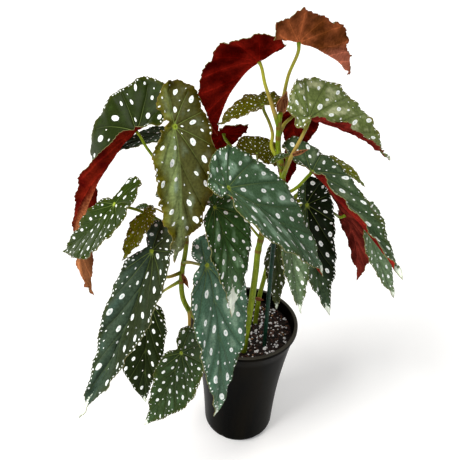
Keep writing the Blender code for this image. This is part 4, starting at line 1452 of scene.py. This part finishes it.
def grain_material(name, low, high, roughness):
    """Two mottled colours for loose grains."""
    s = Shading(name, roughness)
    place = s.place()
    mottle = s.noise(place, 700.0)
    broad = s.math("MULTIPLY", s.noise(place, 90.0, 2.0), 0.5)
    s.base(s.blend(s.math("MULTIPLY_ADD", mottle, 0.6, broad), 0.35, 0.75, low, high))
    s.bump(mottle, 0.5, 0.0005)
    return s.material


def soil_height(x, y):
    """The mix's lumpy top, in millimetres."""
    return SOIL_HEIGHT + sum(height * noise.noise(Vector((x * close, y * close, read_at)))
                             for close, read_at, height in LUMPS)


def lumpy_top(x, y, height):
    """The mix's heights: only its top is lumpy."""
    return soil_height(x, y) if height == SOIL_HEIGHT else height


def soil_radius(height):
    """The mix's radius, a little inside the pot's wall."""
    return wall_radius(height) - WALL - SOIL_GAP


def build_soil():
    """The mix's body with its crumbly top."""
    top = soil_radius(SOIL_HEIGHT)
    profile = [(top * i / SOIL_RINGS, SOIL_HEIGHT) for i in range(SOIL_RINGS + 1)]
    profile += [(soil_radius(h), h) for h in (SOIL_SIDE, SOIL_FOOT)]
    profile.append((0.0, SOIL_FOOT))
    mesh = turned_mesh("potting_mix_fine", profile, SOIL_STEPS, lumpy_top)
    mesh.shade_smooth()
    add_piece(mesh, [soil_material()], "soil_brown", "potting_mix")


def scatter_grains(name, seed, count, sizes, shape, colours, roughness):
    """Uneven grains of one kind, part sunk into the mix."""
    draw = random.Random(seed)
    bm = bmesh.new()
    for _ in range(count):
        radius = (soil_radius(SOIL_HEIGHT) - GRAIN_INSET) * math.sqrt(draw.random())
        angle = draw.uniform(0, 2 * math.pi)
        x, y = radius * math.cos(angle), radius * math.sin(angle)
        size = draw.uniform(*sizes) * draw.uniform(*GRAIN_SIZES)
        turn = Matrix.Rotation(draw.uniform(0, 2 * math.pi), 4, "Z")
        turn = turn @ Matrix.Rotation(draw.uniform(*GRAIN_TILT), 4, "X")
        scale = Matrix.Diagonal((*[size * s * MM for s in shape], 1.0))
        height = soil_height(x, y) + size * shape[2] * draw.uniform(*GRAIN_LIFT)
        middle = Vector((x, y, height)) * MM
        made = bmesh.ops.create_icosphere(bm, subdivisions=1, radius=1.0,
                                          matrix=Matrix.Translation(middle) @ turn @ scale)
        for vert in made["verts"]:
            vert.co = middle + (vert.co - middle) * draw.uniform(*GRAIN_DENTS)
    material = grain_material(name + "_look", *colours, roughness)
    add_piece(finished(bm, name), [material], "soil_brown")


def build_stake():
    """The stake above the mix, with the fine beads of its coating."""
    coating = ribbed_material("stake_coating", 0.4, 0.15, (300.0, 300.0, 500.0), 2.0,
                              "#072619", "#0f3d2a", 0.4, 0.0006)
    heights = np.linspace(SOIL_HEIGHT - STAKE_SUNK, STAKE_TOP - STAKE_TIP, STAKE_RINGS + 1)
    bead = STAKE_BEAD * np.cos(heights * 2 * math.pi / STAKE_BEAD_PITCH)
    taper = np.minimum(1.0, (STAKE_TOP - heights) / 3.0 + 0.45)
    corners, faces = tube([(*STAKE_PLACE, z) for z in heights],
                          (STAKE_RADIUS - 0.1 + bead) * taper, STAKE_SIDES)
    add_piece(smooth_mesh("stake_fine", corners, faces), [coating], "stake_green", "stake")


def add_sun(name, came_from, strength, angle_deg, tint):
    """A far, soft lamp that shines from the given direction."""
    data = bpy.data.lights.new(name, "SUN")
    data.energy = strength
    data.angle = math.radians(angle_deg)
    data.color = tint
    lamp = add_object(name, data)
    lamp.rotation_euler = Vector(came_from).to_track_quat("Z", "Y").to_euler()


def build_stage():
    """A plain pale floor, a pale sky and soft studio lamps."""
    mesh = bpy.data.meshes.new("floor")
    half = FLOOR_SIZE / 2
    mesh.from_pydata([(x * half, y * half, 0) for x, y in FLOOR_CORNERS], [], [(0, 1, 2, 3)])
    s = Shading("floor_pale", 0.9, 0.0)
    grain = s.noise(s.place(), 3.0, 2.0)
    s.base(s.mix(grain, "#f3f3f3", "#f6f6f6"))
    s.shader.inputs["Emission Color"].default_value = (1.0, 1.0, 1.0, 1.0)
    s.shader.inputs["Emission Strength"].default_value = FLOOR_GLOW
    mesh.materials.append(s.material)
    floor = add_object("floor", mesh)
    world = bpy.data.worlds.new("studio")
    world.use_nodes = True
    back = world.node_tree.nodes["Background"]
    back.inputs["Color"].default_value = SKY_TINT
    back.inputs["Strength"].default_value = SKY_STRENGTH
    bpy.context.scene.world = world
    for name, settings in SUNS.items():
        add_sun(name, *settings)


def build_camera():
    """The photograph's viewpoint: down at the plant, turned a little about the view."""
    data = bpy.data.cameras.new("camera")
    data.sensor_width = SENSOR
    data.lens = FOCAL / IMAGE * SENSOR
    data.clip_start = 0.01
    camera = add_object("camera", data)
    turn = Matrix.Rotation(math.radians(90.0 - CAMERA_DOWN_DEG), 4, "X")
    turn = turn @ Matrix.Rotation(math.radians(CAMERA_ROLL_DEG), 4, "Z")
    camera.matrix_world = Matrix.Translation(Vector(CAMERA_PLACE) * MM) @ turn
    bpy.context.scene.camera = camera


bpy.context.scene.view_settings.view_transform = "Standard"

blade_tops = {name: blade_top("top_" + name, look) for name, look in LOOKS.items()}
blade_unders = {name: blade_under("under_" + name, look) for name, look in LOOKS.items()}
spot_material = spot_white()
rim_material = blade_rim()
cane = cane_material()
sheath = ribbed_material("sheath_paper", 0.85, 0.2, (700.0, 700.0, 90.0), 4.0,
                         "#5e2c1a", "#b07a4c", 0.6, 0.0008)

leaf_by_name = {leaf.name: leaf for leaf in LEAVES}
blade_normals = {leaf.name: build_blade(index, leaf) for index, leaf in enumerate(LEAVES)}
for cane_name, cane_parts in CANES.items():
    build_stem(cane_name, *cane_parts)
for stipule_name, stipule in STIPULES.items():
    build_stipule(stipule_name, *stipule)
build_pot()
build_soil()
for grain_seed, (grain_name, grain) in enumerate(GRAINS.items(), GRAIN_SEED):
    scatter_grains(grain_name, grain_seed, *grain)
build_stake()
build_stage()
build_camera()

bpy.context.view_layer.update()
